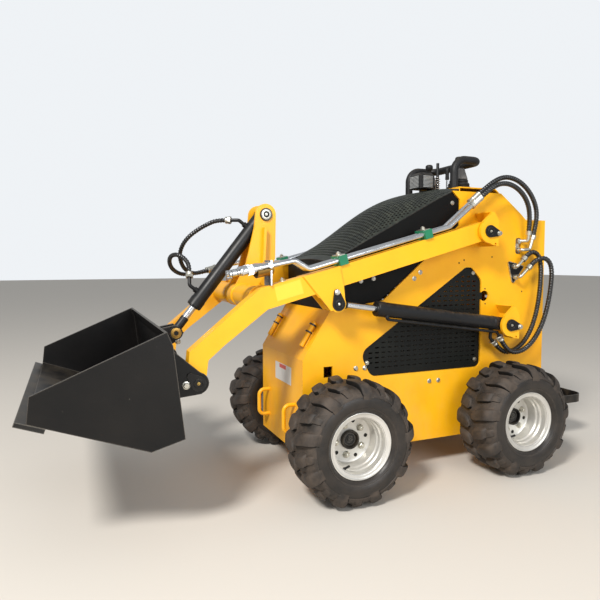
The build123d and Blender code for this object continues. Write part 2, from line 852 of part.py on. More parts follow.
# The ears' outlines, from the top of each on the plate's rear face down to its foot there
ear_tab_outline = [(back_face_y(600), 600), (-904, 497), (-890, 474), (-916, 438), (back_face_y(430), 430)]
tilt_tab_outline = [(back_face_y(622), 622), (-944, 637), (-915, 607), (-944, 574), (back_face_y(540), 540)]
tab_plate = 12
tilt_tab_gap = 50
tab_outer_x = arm_centre_x + arm_width / 2 + ear_gap
tab_inner_x = arm_centre_x - arm_width / 2 - ear_gap - tab_plate
with BuildPart() as attach_plate:
    with BuildSketch(side_plane(-attach_width / 2)):
        with BuildLine():
            attach_line = Line(back_foot, back_top)
            offset(attach_line, amount=attach_plate_thickness, side=Side.RIGHT)
        make_face()
    extrude(amount=attach_width)
    for side in (1, -1):
        for tab_x in (tab_outer_x, tab_inner_x):
            with BuildSketch(side_plane(side * (tab_x + tab_plate / 2))):
                with BuildLine():
                    Polyline(*ear_tab_outline, close=True)
                make_face()
                with Locations(bucket_pivot):
                    Circle(arm_tip_round)
                    Circle(pin_r + run_gap, mode=Mode.SUBTRACT)
            extrude(amount=tab_plate / 2, both=True)
        with BuildSketch(side_plane(side * (tilt_tab_gap / 2 + tab_plate / 2))):
            with BuildLine():
                Polyline(*tilt_tab_outline, close=True)
            make_face()
            with Locations(tilt_eye_pin):
                Circle(pin_r + run_gap, mode=Mode.SUBTRACT)
        extrude(amount=tab_plate / 2, both=True)
write(attach_plate.part, "attach_plate")

# Attachment pins: through both ears at each arm, and a stub in each ear at the tilt rod
bucket_flag_tail = (-26, 26)
with BuildPart() as attach_pins:
    for side in (1, -1):
        pin_outer = tab_outer_x + tab_plate
        with BuildSketch(side_plane(side * (tab_inner_x + pin_outer) / 2)):
            with Locations(bucket_pivot):
                Circle(pin_r)
        extrude(amount=(pin_outer - tab_inner_x) / 2, both=True)
        with BuildSketch(side_plane(side * (pin_outer + flag_plate / 2))):
            with Locations(bucket_pivot):
                Circle(flag_round)
            with Locations(*offset_points(bucket_pivot, [bucket_flag_tail])):
                Circle(flag_tip_round)
            make_hull()
        extrude(amount=flag_plate / 2, both=True)
        with BuildSketch(side_plane(side * (tilt_tab_gap / 2 + tab_plate / 2))):
            with Locations(tilt_eye_pin):
                Circle(pin_r)
        extrude(amount=tab_plate / 2, both=True)
        with BuildSketch(side_plane(side * (tilt_tab_gap / 2 + tab_plate + flag_plate / 2))):
            with Locations(tilt_eye_pin):
                Circle(flag_round)
        extrude(amount=flag_plate / 2, both=True)
write(attach_pins.part, "attach_pins")

# Bucket: floor and back bent from one sheet, and a plate at each end
lip = (-lip_reach, 446)
heel = (-1101, 314)
bucket_brim = (-1421, 511)
back_brim = (-1050, 669)
lip_lap = 30
floor_start = along(lip, heel, lip_lap)
bucket_side = [floor_start, bucket_brim, back_brim, back_top, back_foot, heel]
with BuildPart() as bucket_shell:
    with BuildSketch(side_plane(-bucket_width / 2)):
        with BuildLine():
            bucket_line = Polyline(floor_start, heel, back_foot, back_top, back_brim)
            offset(bucket_line, amount=bucket_wall, side=Side.LEFT)
        make_face()
    extrude(amount=bucket_width)
    for side in (1, -1):
        with BuildSketch(side_plane(side * (bucket_width / 2 - bucket_wall / 2))):
            with BuildLine():
                Polyline(*bucket_side, close=True)
            make_face()
        extrude(amount=bucket_wall / 2, both=True)
write(bucket_shell.part, "bucket_shell")

# Cutting edge: a thick bar under the floor, out to the lip
edge_length = 82
edge_rear = along(lip, heel, edge_length)
with BuildPart() as cutting_edge:
    with BuildSketch(side_plane(-bucket_width / 2)):
        with BuildLine():
            edge_line = Line(lip, edge_rear)
            offset(edge_line, amount=edge_thickness, side=Side.RIGHT)
        make_face()
    extrude(amount=bucket_width)
write(cutting_edge.part, "cutting_edge")

# Platform: a tray that the driver stands on, with a turned-up flange
platform_corner = 60
platform_plane = Plane(origin=(0, mid_y, platform_z))
with BuildPart() as platform:
    with BuildSketch(platform_plane):
        with Locations((0, rear_y)):
            Rectangle(platform_width, platform_reach - rear_y, align=(Align.CENTER, Align.MIN))
    extrude(amount=platform_flange)
    fillet(platform.edges().filter_by(Axis.Z).sort_by(Axis.Y)[-2:], platform_corner)
    offset(amount=-sheet, openings=platform.faces().sort_by(Axis.Z)[-1])
write(platform.part, "platform")

# Tie-down loops: bent bars on the nose and on the rear panel
loop_bar = 16
loop_height = 110
loop_reach = 46
loop_bend = 24
loop_x = 150
nose_loop_z = 205
rear_loop_z = 430
# Each loop: x, distance behind mid-wheelbase of the face it stands on, lower leg height, direction
loop_places = [
    (loop_x, nose_y, nose_loop_z, -1),
    (-loop_x, nose_y, nose_loop_z, -1),
    (loop_x, rear_y, rear_loop_z, 1),
    (-loop_x, rear_y, rear_loop_z, 1),
]
with BuildPart() as tie_down_loops:
    for x, y, z, way in loop_places:
        with BuildLine(side_plane(x)):
            loop_path = FilletPolyline(
                (y, z),
                (y + way * loop_reach, z),
                (y + way * loop_reach, z + loop_height),
                (y, z + loop_height),
                radius=loop_bend,
            )
        with BuildSketch(Plane(origin=loop_path @ 0, z_dir=loop_path % 0)):
            Circle(loop_bar / 2)
        sweep(path=loop_path)
write(tie_down_loops.part, "tie_down_loops")

# Hand rail: a padded hoop, open at the front, that stands on the dash
rail_od = 34
rail_half = 170
rail_riser_y = 227
rail_rear_y = 372
rail_z = 1314
rail_bend = 55
with BuildPart() as hand_rail:
    with BuildLine():
        rail_path = FilletPolyline(
            (rail_half, mid_y + rail_riser_y, dash_z),
            (rail_half, mid_y + rail_riser_y, rail_z),
            (rail_half, mid_y + rail_rear_y, rail_z),
            (-rail_half, mid_y + rail_rear_y, rail_z),
            (-rail_half, mid_y + rail_riser_y, rail_z),
            (-rail_half, mid_y + rail_riser_y, dash_z),
            radius=rail_bend,
        )
    with BuildSketch(Plane(origin=rail_path @ 0, z_dir=rail_path % 0)):
        Circle(rail_od / 2)
    sweep(path=rail_path)
write(hand_rail.part, "hand_rail")

# Joysticks: a ribbed boot, a grey cone and a knob, on the dash, with a post and a lever between them
joystick_x = 110
joystick_y = 300
# Each ring of a joystick: height over the dash, radius
joystick_rings = [
    (0, 52),
    (18, 52),
    (18, 44),
    (34, 46),
    (34, 38),
    (50, 38),
    (95, 24),
    (95, 9),
    (125, 9),
    (125, 17),
    (150, 17),
]
# Each ring of the post and of the lever: height over the dash, radius
post_rings = [(0, 14), (8, 14), (8, 7), (137, 7)]
lever_rings = [(0, 13), (12, 13), (12, 5), (64, 5), (64, 10), (118, 10)]
# Each upright control: x, distance behind mid-wheelbase, its rings
controls = [
    (joystick_x, joystick_y, joystick_rings),
    (-joystick_x, joystick_y, joystick_rings),
    (0, 268, post_rings),
    (0, 322, lever_rings),
]
with BuildPart() as joysticks:
    for x, y, rings in controls:
        base = Plane(origin=(x, mid_y + y, dash_z), x_dir=(1, 0, 0), z_dir=(0, -1, 0))
        with BuildSketch(base):
            with BuildLine():
                Polyline((0, 0), *[(r, z) for z, r in rings], (0, rings[-1][0]), close=True)
            make_face()
        revolve(axis=Axis(base.origin, (0, 0, 1)))
write(joysticks.part, "joysticks")

# Work lamp: a rounded box with a domed cap, on a strap that stands on the front of the dash
lamp_front_y = 142
lamp_rear_y = 223
lamp_foot_z = 1204
lamp_top_z = 1262
lamp_cap_z = 1275
lamp_half = 45
lamp_corner = 14
strap_half = 20
strap_foot_y = 250
strap_top_z = 1236
strap_thickness = 5
with BuildPart() as work_lamp:
    with BuildSketch(Plane(origin=(0, mid_y + (lamp_front_y + lamp_rear_y) / 2, lamp_foot_z))):
        RectangleRounded(2 * lamp_half, lamp_rear_y - lamp_front_y, lamp_corner)
    extrude(amount=lamp_top_z - lamp_foot_z)
    with BuildSketch(Plane(origin=(0, mid_y + (lamp_front_y + lamp_rear_y) / 2, lamp_top_z))):
        RectangleRounded(2 * lamp_half, lamp_rear_y - lamp_front_y, lamp_corner)
    extrude(amount=lamp_cap_z - lamp_top_z, taper=45)
    with BuildSketch(side_plane(-strap_half)):
        with BuildLine():
            strap_line = Polyline((strap_foot_y, dash_z), (lamp_rear_y, dash_z), (lamp_rear_y, strap_top_z))
            offset(strap_line, amount=strap_thickness, side=Side.RIGHT)
        make_face()
    extrude(amount=2 * strap_half)
write(work_lamp.part, "work_lamp")

# Pipes along the arms: two on each, with the couplers or hose fittings and the bracket that holds them
clamp_length = 34
clamp_height = 36
clamp_width = 68
clamp_spots = [-380, -8]
arm_rear, arm_knee, arm_brow, arm_nose = arm_outline[:4]
arm_slope = atan2(arm_rear[1] - arm_knee[1], arm_rear[0] - arm_knee[0])
pipe_rise = pipe_lift / cos(arm_slope)
pipe_bend = 26
coupler_run = -152
coupler_drop = -29
coupler_rear = (-659, 862)
hose_fitting_end = (-745, 838)
pipe_brow = (-570, 879)
pipe_step_y = -515
pipe_heel_y = 95
# Where each pipe ends: its side of the pair, hose end behind mid-wheelbase and its height
pipe_tops = [(-1, (272, 1154.5)), (1, (250, 1136.7))]
rear_ferrule = 58
front_ferrule = 44
bracket_front_y = -668
bracket_rear_y = -662
bracket_top_z = 880
# Each ring of a coupler: distance forward from its rear end, radius
coupler_rings = [(0, 13), (40, 13), (40, 15), (112, 15), (112, 11.5), (155, 11.5)]


def height_on(start, finish, y):
    """The height at a distance behind mid-wheelbase on the side-view line through two points."""
    return start[1] + (y - start[0]) * (finish[1] - start[1]) / (finish[0] - start[0])


with BuildPart() as arm_pipes:
    for side in (1, -1):
        pipe_front = coupler_rear if side == 1 else hose_fitting_end
        for row, top in pipe_tops:
            pipe_x = side * (arm_centre_x + row * pipe_pitch / 2)
            with BuildLine(side_plane(pipe_x)):
                pipe_path = FilletPolyline(
                    pipe_front,
                    *([] if side == 1 else [coupler_rear]),
                    pipe_brow,
                    (pipe_step_y, height_on(arm_rear, arm_knee, pipe_step_y) + pipe_rise),
                    (pipe_heel_y, height_on(arm_rear, arm_knee, pipe_heel_y) + pipe_rise),
                    top,
                    radius=pipe_bend,
                )
            with BuildSketch(Plane(origin=pipe_path @ 0, z_dir=pipe_path % 0)):
                Circle(pipe_od / 2)
            sweep(path=pipe_path)
            with BuildSketch(Plane(origin=pipe_path @ 1, z_dir=-(pipe_path % 1))):
                Circle(ferrule_od / 2)
            extrude(amount=rear_ferrule)
            if side == 1:
                coupler_plane = Plane(
                    origin=(pipe_x, mid_y + pipe_front[0], pipe_front[1]),
                    x_dir=(1, 0, 0),
                    z_dir=(0, -coupler_drop, coupler_run),
                )
                with BuildSketch(coupler_plane):
                    with BuildLine():
                        coupler_wall = Polyline((0, 0), *[(r, z) for z, r in coupler_rings])
                        Polyline(coupler_wall @ 1, (0, coupler_rings[-1][0]), (0, 0))
                    make_face()
                revolve(axis=Axis(coupler_plane.origin, coupler_plane.y_dir))
            else:
                with BuildSketch(Plane(origin=pipe_path @ 0, z_dir=pipe_path % 0)):
                    Circle(ferrule_od / 2)
                extrude(amount=front_ferrule)
        with BuildSketch(side_plane(side * arm_centre_x)):
            with BuildLine():
                Polyline(
                    (bracket_front_y, height_on(arm_brow, arm_nose, bracket_front_y)),
                    (bracket_rear_y, height_on(arm_brow, arm_nose, bracket_rear_y)),
                    (bracket_rear_y, bracket_top_z),
                    (bracket_front_y, bracket_top_z),
                    close=True,
                )
            make_face()
        extrude(amount=clamp_width / 2, both=True)
write(arm_pipes.part, "arm_pipes")

# Pipe clamps: blocks on the arms, bored for both pipes
with BuildPart() as pipe_clamps:
    for side in (1, -1):
        for spot in clamp_spots:
            clamp_plane = Plane(
                origin=(side * arm_centre_x, mid_y + spot, height_on(arm_rear, arm_knee, spot)),
                x_dir=(0, cos(arm_slope), sin(arm_slope)),
                z_dir=(1, 0, 0),
            )
            with BuildSketch(clamp_plane):
                Rectangle(clamp_length, clamp_height, align=(Align.CENTER, Align.MIN))
            extrude(amount=clamp_width / 2, both=True)
            with BuildSketch(Plane(origin=clamp_plane.origin, x_dir=(1, 0, 0), z_dir=clamp_plane.x_dir)):
                with Locations((-pipe_pitch / 2, -pipe_lift), (pipe_pitch / 2, -pipe_lift)):
                    Circle(pipe_od / 2 + run_gap)
            extrude(amount=clamp_length, both=True, mode=Mode.SUBTRACT)
write(pipe_clamps.part, "pipe_clamps")

# Hose ports: elbows that pass through the slot to a plate inside it, and two on a plate below it
inner_port_size = (64, 100)
port_plate = 6
outer_port_corners = [(472, 879), (568, 855), (501, 771)]
outer_port_corner = 9
elbow_bend = 11
nut_radius = 12
nut_height = 16
# Each elbow on the inner plate and on the outer one: its place on the plate, its corners, its hose end
inner_elbows = [
    ((534, 926), [(256, 534, 926), (259, 574, 928)], (262, 590, 990)),
    ((534, 965), [(260.9, 561.2, 966)], (268, 558, 1010)),
]
outer_elbows = [
    ((502, 852), [(262, 502, 852)], (264, 546, 893)),
    ((510, 806), [(272, 510, 806)], (280, 560, 856)),
]
port_plates = [(inner_half, inner_elbows), (chassis_width / 2 + port_plate, outer_elbows)]
with BuildPart() as hose_ports:
    for side in (1, -1):
        with BuildSketch(side_plane(side * (inner_half - port_plate / 2))):
            with Locations(hose_slot):
                Rectangle(*inner_port_size)
        extrude(amount=port_plate / 2, both=True)
        with BuildSketch(side_plane(side * (chassis_width / 2 + port_plate / 2))):
            with BuildLine():
                FilletPolyline(*outer_port_corners, radius=outer_port_corner, close=True)
            make_face()
        extrude(amount=port_plate / 2, both=True)
        for face_x, elbows in port_plates:
            for seat, elbow_corners, hose_end in elbows:
                with BuildSketch(side_plane(side * (face_x + nut_height / 2))):
                    with Locations(seat):
                        RegularPolygon(nut_radius, 6)
                extrude(amount=nut_height / 2, both=True)
                elbow_points = route_points(side, [(face_x, *seat), *elbow_corners, hose_end])
                add(make_tail(elbow_points, tail_od, elbow_bend, short_ferrule))
write(hose_ports.part, "hose_ports")

# Hoses: each bends from one fitting to another and hangs free between them.
# Each point of a route: x, distance behind mid-wheelbase, height
arm_hose_a_route = [
    (arm_centre_x - pipe_pitch / 2, *pipe_tops[0][1]),
    (277, 334, 1204),
    (277, 405, 1236),
    (276, 480, 1226),
    (273, 549, 1183),
    (269, 596, 1118),
    (265, 606, 1052),
    inner_elbows[0][2],
]
arm_hose_b_route = [
    (arm_centre_x + pipe_pitch / 2, *pipe_tops[1][1]),
    (315, 310, 1184.5),
    (311, 380, 1204),
    (303, 453, 1188),
    (292, 517, 1143),
    (279, 553, 1078),
    inner_elbows[1][2],
]
cylinder_hose_a_route = [
    outer_elbows[0][2],
    (265, 562, 908),
    (267, 584, 918),
    (268, 606, 912),
    (270, 621, 893),
    (272, 628, 864),
    (274, 629, 818),
    (276, 624, 752),
    (278, 610, 675),
    (279, 590, 610),
    (281, 562, 557),
    (282, 522, 512),
    (282, 470, 484),
    (281, 411, 481),
    lift_hose_ends["foot"],
]
cylinder_hose_b_route = [
    outer_elbows[1][2],
    (283, 579, 875),
    (291, 602, 889),
    (298, 628, 889),
    (302, 649, 872),
    (304, 660, 842),
    (304, 661, 792),
    (304, 652, 725),
    (305, 635, 657),
    (306, 607, 590),
    (306, 566, 531),
    (306, 511, 490),
    (306, 452, 481),
    (306, 408.4, 499.7),
    lift_hose_ends["head"],
]
tilt_hose_upper_route = [
    (arm_centre_x - pipe_pitch / 2, *hose_fitting_end),
    (277, -783, 827.4),
    (266, -821, 827),
    (240, -854, 843),
    (208, -876, 871),
    (180, -888, 905),
    (154, -881, 944),
    (130, -860, 977),
    (107, -830, 1003),
    (80, -798, 1024),
    (49, -763, 1041.5),
    tilt_ports[0][1],
]
tilt_hose_lower_route = [
    (arm_centre_x + pipe_pitch / 2, *hose_fitting_end),
    (315, -786, 826.6),
    (309, -828, 820),
    (289, -867, 824),
    (256, -898, 839),
    (220, -918, 857),
    (184, -929, 876),
    (150, -932, 893),
    (118, -926, 904),
    (88, -911, 905),
    (61, -892, 892),
    (36.3, -876, 865.4),
    tilt_ports[1][1],
]


def arc_radii(points):
    """For each corner of a route, the radius that uses nine tenths of the shorter run beside it."""
    radii = []
    for before, corner, after in zip(points, points[1:], points[2:]):
        run_in = corner - before
        run_out = after - corner
        half_turn = radians(run_in.get_angle(run_out) / 2)
        radii.append(0.45 * min(run_in.length, run_out.length) / tan(half_turn))
    return radii


def make_hose(points, od, moving_end, name):
    """A hose along a route, a seat's gap short of the fitting at its moving end."""
    beyond = points[1] if moving_end == 0 else points[-2]
    points[moving_end] += (beyond - points[moving_end]).normalized() * seat_gap
    radii = arc_radii(points)
    with BuildPart() as hose:
        with BuildLine():
            hose_path = FilletPolyline(*points, radius=radii)
        with BuildSketch(Plane(origin=hose_path @ 0, z_dir=hose_path % 0)):
            Circle(od / 2)
        sweep(path=hose_path)
    print(name, "radii", [round(radius) for radius in radii], "length", round(hose_path.length))
    print(name, "volume share", round(hose.part.volume / (hose_path.length * pi * od**2 / 4), 4))
    write(hose.part, name)


for name, side in [("left", 1), ("right", -1)]:
    make_hose(route_points(side, arm_hose_a_route), hose_od, 0, f"arm_hose_{name}_a")
    make_hose(route_points(side, arm_hose_b_route), hose_od, 0, f"arm_hose_{name}_b")
    make_hose(route_points(side, cylinder_hose_a_route), hose_od, -1, f"cylinder_hose_{name}_a")
    make_hose(route_points(side, cylinder_hose_b_route), hose_od, -1, f"cylinder_hose_{name}_b")
make_hose(route_points(-1, tilt_hose_upper_route), tilt_hose_od, -1, "tilt_hose_upper")
make_hose(route_points(-1, tilt_hose_lower_route), tilt_hose_od, -1, "tilt_hose_lower")
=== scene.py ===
import math

import bmesh
import bpy
from mathutils import Matrix, Vector
from mathutils.bvhtree import BVHTree


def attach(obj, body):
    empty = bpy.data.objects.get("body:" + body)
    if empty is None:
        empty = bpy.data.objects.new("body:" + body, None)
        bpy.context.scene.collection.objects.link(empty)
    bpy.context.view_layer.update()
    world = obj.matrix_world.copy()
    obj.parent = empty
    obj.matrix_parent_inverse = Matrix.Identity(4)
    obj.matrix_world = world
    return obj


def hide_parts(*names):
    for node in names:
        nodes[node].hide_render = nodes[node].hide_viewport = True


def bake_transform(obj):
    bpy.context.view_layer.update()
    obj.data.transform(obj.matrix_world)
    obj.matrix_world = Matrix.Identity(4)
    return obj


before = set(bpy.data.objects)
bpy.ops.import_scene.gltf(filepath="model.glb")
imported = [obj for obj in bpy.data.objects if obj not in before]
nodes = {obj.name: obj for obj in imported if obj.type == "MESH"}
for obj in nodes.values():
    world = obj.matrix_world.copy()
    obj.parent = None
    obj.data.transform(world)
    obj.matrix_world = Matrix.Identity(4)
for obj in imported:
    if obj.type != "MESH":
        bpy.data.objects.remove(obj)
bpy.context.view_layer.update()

# Sizes are in mm. In the side view they are measured from mid-wheelbase, as in the part's source.
# Points, and mid-wheelbase itself, are in metres.
mm = 0.001
mid_y = 0.229
x_way, y_way, z_way = Vector((1, 0, 0)), Vector((0, 1, 0)), Vector((0, 0, 1))
full_turn = 2 * math.pi


def at(x, y, z):
    """A point from x, distance behind mid-wheelbase and height."""
    return Vector((x * mm, mid_y + y * mm, z * mm))


def circle(centre, first, second, count, reach=1.0, turn=0.0):
    """Points evenly round a centre, in the plane of two directions."""
    points = []
    for step in range(count):
        angle = turn + full_turn * step / count
        points.append(centre + (first * math.cos(angle) + second * math.sin(angle)) * reach)
    return points


# Camera, at the photograph's place and angle
camera_place = (2.1199, -1.0768, 0.8704)
camera_yaw = math.radians(67.346)
camera_pitch = math.radians(3.861)
camera_roll = math.radians(-0.123)
focal_pixels = 548.585
photo_pixels = 600
sensor_mm = 36
nearest_seen = 0.05


def make_camera():
    data = bpy.data.cameras.new("camera")
    data.sensor_width = sensor_mm
    data.lens = focal_pixels / photo_pixels * sensor_mm
    data.clip_start = nearest_seen
    camera = bpy.data.objects.new("camera", data)
    flat = math.cos(camera_pitch)
    back = Vector((math.sin(camera_yaw) * flat, -math.cos(camera_yaw) * flat, math.sin(camera_pitch)))
    right = Vector((math.cos(camera_yaw), math.sin(camera_yaw), 0))
    turn = Matrix.Rotation(camera_roll, 3, back)
    right, up = turn @ right, turn @ back.cross(right)
    rows = Matrix((right, up, back)).transposed()
    camera.matrix_world = Matrix.Translation(camera_place) @ rows.to_4x4()
    bpy.context.scene.collection.objects.link(camera)
    bpy.context.scene.camera = camera


make_camera()


# Materials. Each is a small tree: a base colour with variation, dust that settles on upward faces
# and near the ground, wear along the edges, and a fine bump. Their lengths are in metres.
class Tree:
    """A material's node tree, with short ways to add nodes to it."""

    def __init__(self, name):
        self.material = bpy.data.materials.new(name)
        self.material.use_nodes = True
        self.tree = self.material.node_tree
        self.shader = self.tree.nodes["Principled BSDF"]
        self.place = self.add("ShaderNodeTexCoord").outputs["Object"]

    def add(self, kind, **values):
        node = self.tree.nodes.new(kind)
        for key, value in values.items():
            setattr(node, key, value)
        return node

    def link(self, source, socket):
        self.tree.links.new(source, socket)

    def put(self, value, socket):
        if isinstance(value, bpy.types.NodeSocket):
            self.link(value, socket)
        else:
            socket.default_value = value

    def noise(self, scale, detail=4.0, stretch=None, roughness=0.55):
        node = self.add("ShaderNodeTexNoise")
        node.inputs["Scale"].default_value = scale
        node.inputs["Detail"].default_value = detail
        node.inputs["Roughness"].default_value = roughness
        place = self.place
        if stretch:
            mapping = self.add("ShaderNodeMapping")
            mapping.inputs["Scale"].default_value = stretch
            self.link(place, mapping.inputs["Vector"])
            place = mapping.outputs["Vector"]
        self.link(place, node.inputs["Vector"])
        return node.outputs["Fac"]

    def steps(self, value, low, high):
        """0 below low and 1 over high, with a smooth change between them."""
        node = self.add("ShaderNodeMapRange", interpolation_type="SMOOTHSTEP")
        node.inputs["From Min"].default_value = low
        node.inputs["From Max"].default_value = high
        self.link(value, node.inputs["Value"])
        return node.outputs["Result"]

    def math(self, kind, first, second):
        node = self.add("ShaderNodeMath", operation=kind)
        self.put(first, node.inputs[0])
        self.put(second, node.inputs[1])
        return node.outputs[0]

    def times(self, first, second):
        return self.math("MULTIPLY", first, second)

    def mix(self, share, first, second):
        node = self.add("ShaderNodeMix", data_type="RGBA")
        self.put(share, node.inputs["Factor"])
        self.put(first, node.inputs["A"])
        self.put(second, node.inputs["B"])
        return node.outputs["Result"]

    def part(self, socket, name):
        node = self.add("ShaderNodeSeparateXYZ")
        self.link(socket, node.inputs[0])
        return node.outputs[name]

    def upward(self, low):
        """1 on faces that look up and 0 on upright ones."""
        geometry = self.add("ShaderNodeNewGeometry")
        return self.steps(self.part(geometry.outputs["Normal"], "Z"), low, 1.0)

    def edges(self, radius, low, high):
        """1 near a sharp edge and 0 on open faces."""
        bevel = self.add("ShaderNodeBevel", samples=4)
        bevel.inputs["Radius"].default_value = radius
        geometry = self.add("ShaderNodeNewGeometry")
        dot = self.add("ShaderNodeVectorMath", operation="DOT_PRODUCT")
        self.link(bevel.outputs["Normal"], dot.inputs[0])
        self.link(geometry.outputs["Normal"], dot.inputs[1])
        return self.steps(self.math("SUBTRACT", 1.0, dot.outputs["Value"]), low, high)

    def bump(self, height, distance):
        node = self.add("ShaderNodeBump")
        node.inputs["Distance"].default_value = distance
        node.inputs["Strength"].default_value = 1.0
        self.link(height, node.inputs["Height"])
        return node.outputs["Normal"]

    def finish(self, colour, roughness, normal, metallic=0.0, coat=0.0, gloss=0.5):
        self.put(colour, self.shader.inputs["Base Color"])
        self.put(roughness, self.shader.inputs["Roughness"])
        self.put(metallic, self.shader.inputs["Metallic"])
        self.shader.inputs["Coat Weight"].default_value = coat
        self.shader.inputs["Coat Roughness"].default_value = 0.1
        self.shader.inputs["Specular IOR Level"].default_value = gloss
        self.link(normal, self.shader.inputs["Normal"])
        return self.material


def rgb(red, green, blue):
    """A colour as it is seen, from 0 to 255, made linear."""

    def linear(value):
        value /= 255
        return value / 12.92 if value <= 0.04045 else ((value + 0.055) / 1.055) ** 2.4

    return (linear(red), linear(green), linear(blue), 1.0)


dust_colour = (176, 158, 132)


def coated(
    name,
    colour,
    darker,
    roughness,
    dust=0.0,
    dust_low=0.0,
    wear_colour=None,
    wear=0.0,
    edge=0.003,
    grain=420.0,
    grain_height=0.00008,
    coat=0.0,
    metallic=0.0,
    dust_tint=dust_colour,
    gloss=0.5,
):
    """A painted, moulded or plated surface."""
    tree = Tree(name)
    base = tree.mix(tree.steps(tree.noise(5.0, 6.0), 0.35, 0.72), rgb(*colour), rgb(*darker))
    speckle = tree.steps(tree.noise(38.0, 8.0, roughness=0.7), 0.38, 0.78)
    film = tree.times(tree.times(tree.upward(0.15), speckle), dust)
    if dust_low:
        low = tree.steps(tree.part(tree.place, "Z"), 0.62, 0.1)
        streaks = tree.steps(tree.noise(16.0, 7.0, stretch=(1.0, 1.0, 0.45), roughness=0.68), 0.4, 0.8)
        film = tree.math("MAXIMUM", film, tree.times(tree.times(low, streaks), dust_low))
    base = tree.mix(film, base, rgb(*dust_tint))
    rough = tree.math("ADD", tree.times(film, 0.5), roughness)
    shine = tree.times(tree.steps(tree.noise(11.0, 5.0), 0.3, 0.7), 0.1)
    rough = tree.math("ADD", rough, shine)
    if wear_colour:
        chips = tree.steps(tree.noise(75.0, 8.0, roughness=0.75), 0.44, 0.62)
        worn = tree.times(tree.times(tree.edges(edge, 0.02, 0.22), chips), wear)
        base = tree.mix(worn, base, rgb(*wear_colour))
        rough = tree.math("ADD", rough, tree.times(worn, 0.2))
    normal = tree.bump(tree.noise(grain, 3.0), grain_height)
    return tree.finish(base, rough, normal, metallic, coat, gloss)


def scratched(name, colour, darker, bare, roughness, amount, dust, patch):
    """Paint rubbed through by soil and stone: long scratches, bare patches and worn edges."""
    tree = Tree(name)
    base = tree.mix(tree.steps(tree.noise(4.0, 7.0), 0.35, 0.7), rgb(*colour), rgb(*darker))
    long_marks = tree.noise(22.0, 9.0, stretch=(0.35, 3.0, 3.0), roughness=0.72)
    fine_marks = tree.noise(60.0, 9.0, stretch=(0.2, 4.0, 4.0), roughness=0.75)
    marks = tree.math("MAXIMUM", tree.steps(long_marks, 0.66, 0.76), tree.steps(fine_marks, 0.68, 0.76))
    patches = tree.steps(tree.noise(7.0, 9.0, roughness=0.68), patch, patch + 0.1)
    marks = tree.times(tree.math("MAXIMUM", marks, patches), amount)
    edge = tree.times(tree.edges(0.005, 0.02, 0.2), 0.9)
    marks = tree.math("MAXIMUM", marks, tree.times(edge, amount * 1.4))
    marks = tree.math("MINIMUM", marks, 1.0)
    base = tree.mix(marks, base, rgb(*bare))
    settled = tree.steps(tree.noise(9.0, 9.0, roughness=0.7), 0.34, 0.7)
    film = tree.times(tree.times(tree.upward(0.1), settled), dust)
    base = tree.mix(film, base, rgb(*dust_colour))
    rough = tree.math("ADD", roughness, tree.times(film, 0.4))
    height = tree.math("SUBTRACT", tree.noise(300.0, 4.0), tree.times(marks, 0.6))
    return tree.finish(base, rough, tree.bump(height, 0.00025), tree.times(marks, 0.65), gloss=0.28)


def tyre_material(name, rubber_roughness, dusty):
    tree = Tree(name)
    rubber = tree.mix(tree.steps(tree.noise(9.0, 7.0), 0.35, 0.7), rgb(27, 26, 25), rgb(38, 35, 33))
    dust = tree.steps(tree.noise(13.0, 10.0, roughness=0.72), 0.3, 0.66)
    share = tree.times(dust, dusty)
    base = tree.mix(share, rubber, rgb(104, 90, 78))
    base = tree.mix(tree.times(tree.edges(0.004, 0.03, 0.3), 0.35), base, rgb(112, 102, 92))
    rough = tree.math("ADD", rubber_roughness, tree.times(share, 0.35))
    height = tree.math("ADD", tree.noise(240.0, 6.0, roughness=0.7), tree.times(dust, 0.5))
    return tree.finish(base, rough, tree.bump(height, 0.0005), gloss=0.4)


def hose_material():
    tree = Tree("hose_wrap")
    base = tree.mix(tree.steps(tree.noise(60.0, 6.0), 0.35, 0.7), rgb(14, 14, 15), rgb(26, 26, 27))
    # Pale specks on the wrap: painted glints standing for highlights on its ribs
    painted_glints = tree.times(tree.steps(tree.noise(160.0, 8.0, roughness=0.7), 0.58, 0.7), 0.3)
    base = tree.mix(painted_glints, base, rgb(150, 148, 142))
    return tree.finish(base, 0.27, tree.bump(tree.noise(500.0, 4.0), 0.0002), gloss=0.6)


